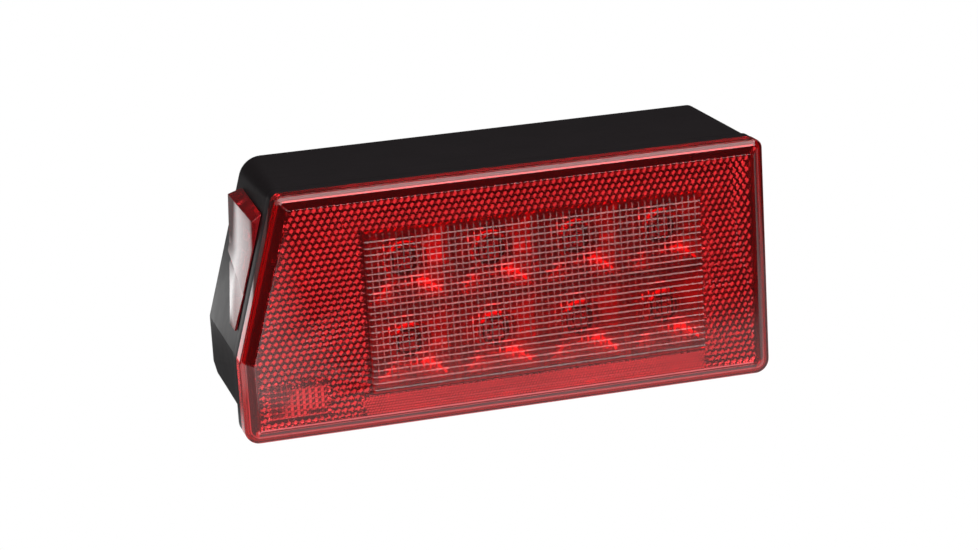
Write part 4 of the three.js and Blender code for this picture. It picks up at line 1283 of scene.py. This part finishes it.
def pale_floor():
    left, near, right, far = FLOOR_BOX
    corners = [(x, y, cad_low.z) for x, y in ((left, near), (right, near), (right, far), (left, far))]
    mesh = bpy.data.meshes.new("floor")
    mesh.from_pydata(corners, [], [(0, 1, 2, 3)])
    look = bpy.data.materials.new("floor")
    mesh.materials.append(look)
    glow = Glow(look)
    place = glow.node("SeparateXYZ", {0: glow.node("TexCoord").outputs["Object"]}).outputs
    fade = glow.node("ValToRGB", {0: glow.ramp(place["Y"], near, far)})
    fade.color_ramp.interpolation = "EASE"
    while len(fade.color_ramp.elements) < len(FLOOR_GLOW):
        fade.color_ramp.elements.new(1.0)
    for stop, (y, strength) in zip(fade.color_ramp.elements, FLOOR_GLOW):
        stop.position = (y - near) / (far - near)
        stop.color = (strength, strength, strength, 1)
    patches = [glow.patch(place, strength, edges) for strength, edges in GLOW_PATCHES]
    brightest = glow.fold("MAXIMUM", fade.outputs[0], glow.streak(place), *patches)
    seen, unseen = (glow.node("Emission", {"Strength": strength}) for strength in (1.0, brightest))
    glow.show("OutputMaterial", seen, unseen)
    link("floor", mesh)


def studio_world():
    world = bpy.data.worlds.new("studio")
    bpy.context.scene.world = world
    glow = Glow(world)
    seen, unseen = (glow.node("Background", {"Color": (1, 1, 1, 1), "Strength": strength})
                    for strength in (1.0, ROOM_GLOW))
    glow.show("OutputWorld", seen, unseen)


def direction(azimuth, elevation):
    a, e = math.radians(azimuth), math.radians(elevation)
    return Vector((math.sin(a) * math.cos(e), -math.cos(a) * math.cos(e), math.sin(e)))


LIGHTS_AIM = Vector((0, -0.03, 0))
# name, azimuth, elevation, distance, width and height in metres, and radiance
STUDIO_LIGHTS = [
    ("key", 8, 34, 1.6, (1.5, 0.8), 5.0),
    ("left", -38, 28, 1.6, (0.7, 0.5), 4.0),
    ("fill", -15, 12, 1.7, (1.3, 0.55), 1.15),
    ("side", 19, 15, 1.6, (0.55, 0.4), 0.9),
    ("behind", 165, 62, 1.6, (1.4, 0.5), 2.5),
    ("beside_left", -105, 38, 1.6, (0.8, 0.5), 1.8),
    ("beside_right", 95, 30, 1.6, (0.8, 0.5), 1.8),
]


def soft_light(name, azimuth, elevation, distance, size, radiance):
    light = bpy.data.lights.new(name, "AREA")
    light.shape = "RECTANGLE"
    light.size, light.size_y = size
    light.energy = radiance * math.pi * size[0] * size[1]
    made = link(name, light)
    away = direction(azimuth, elevation)
    made.location = LIGHTS_AIM + away * distance
    made.rotation_euler = away.to_track_quat("Z", "Y").to_euler()


CAMERA_AZIMUTH = -15.05
CAMERA_ELEVATION = 15.41
CAMERA_ROLL = -3.36
CAMERA_DISTANCE = 1.1075
CAMERA_LENS = 111.0
CAMERA_SLIDE = (-0.0070, 0.0059)  # right and up, in metres at the lamp


def camera():
    shot = bpy.data.cameras.new("camera")
    shot.lens = CAMERA_LENS
    shot.sensor_width = 36
    made = link("camera", shot)
    roll = math.radians(CAMERA_ROLL)
    back = direction(CAMERA_AZIMUTH, CAMERA_ELEVATION)
    level = (-back).cross(Vector((0, 0, 1))).normalized()
    upright = level.cross(-back)
    right = level * math.cos(roll) + upright * math.sin(roll)
    up = upright * math.cos(roll) - level * math.sin(roll)
    target = Vector((0, RIM_FRONT, (lens_low.z + lens_high.z) / 2))
    target += right * CAMERA_SLIDE[0] + up * CAMERA_SLIDE[1]
    turn = Matrix((right, up, back)).transposed().to_4x4()
    made.matrix_world = Matrix.Translation(target + back * CAMERA_DISTANCE) @ turn
    shot.clip_start, shot.clip_end = 0.05, 20
    bpy.context.scene.camera = made


pale_floor()
studio_world()
for settings in STUDIO_LIGHTS:
    soft_light(*settings)
camera()
bpy.context.scene.view_settings.view_transform = "Standard"
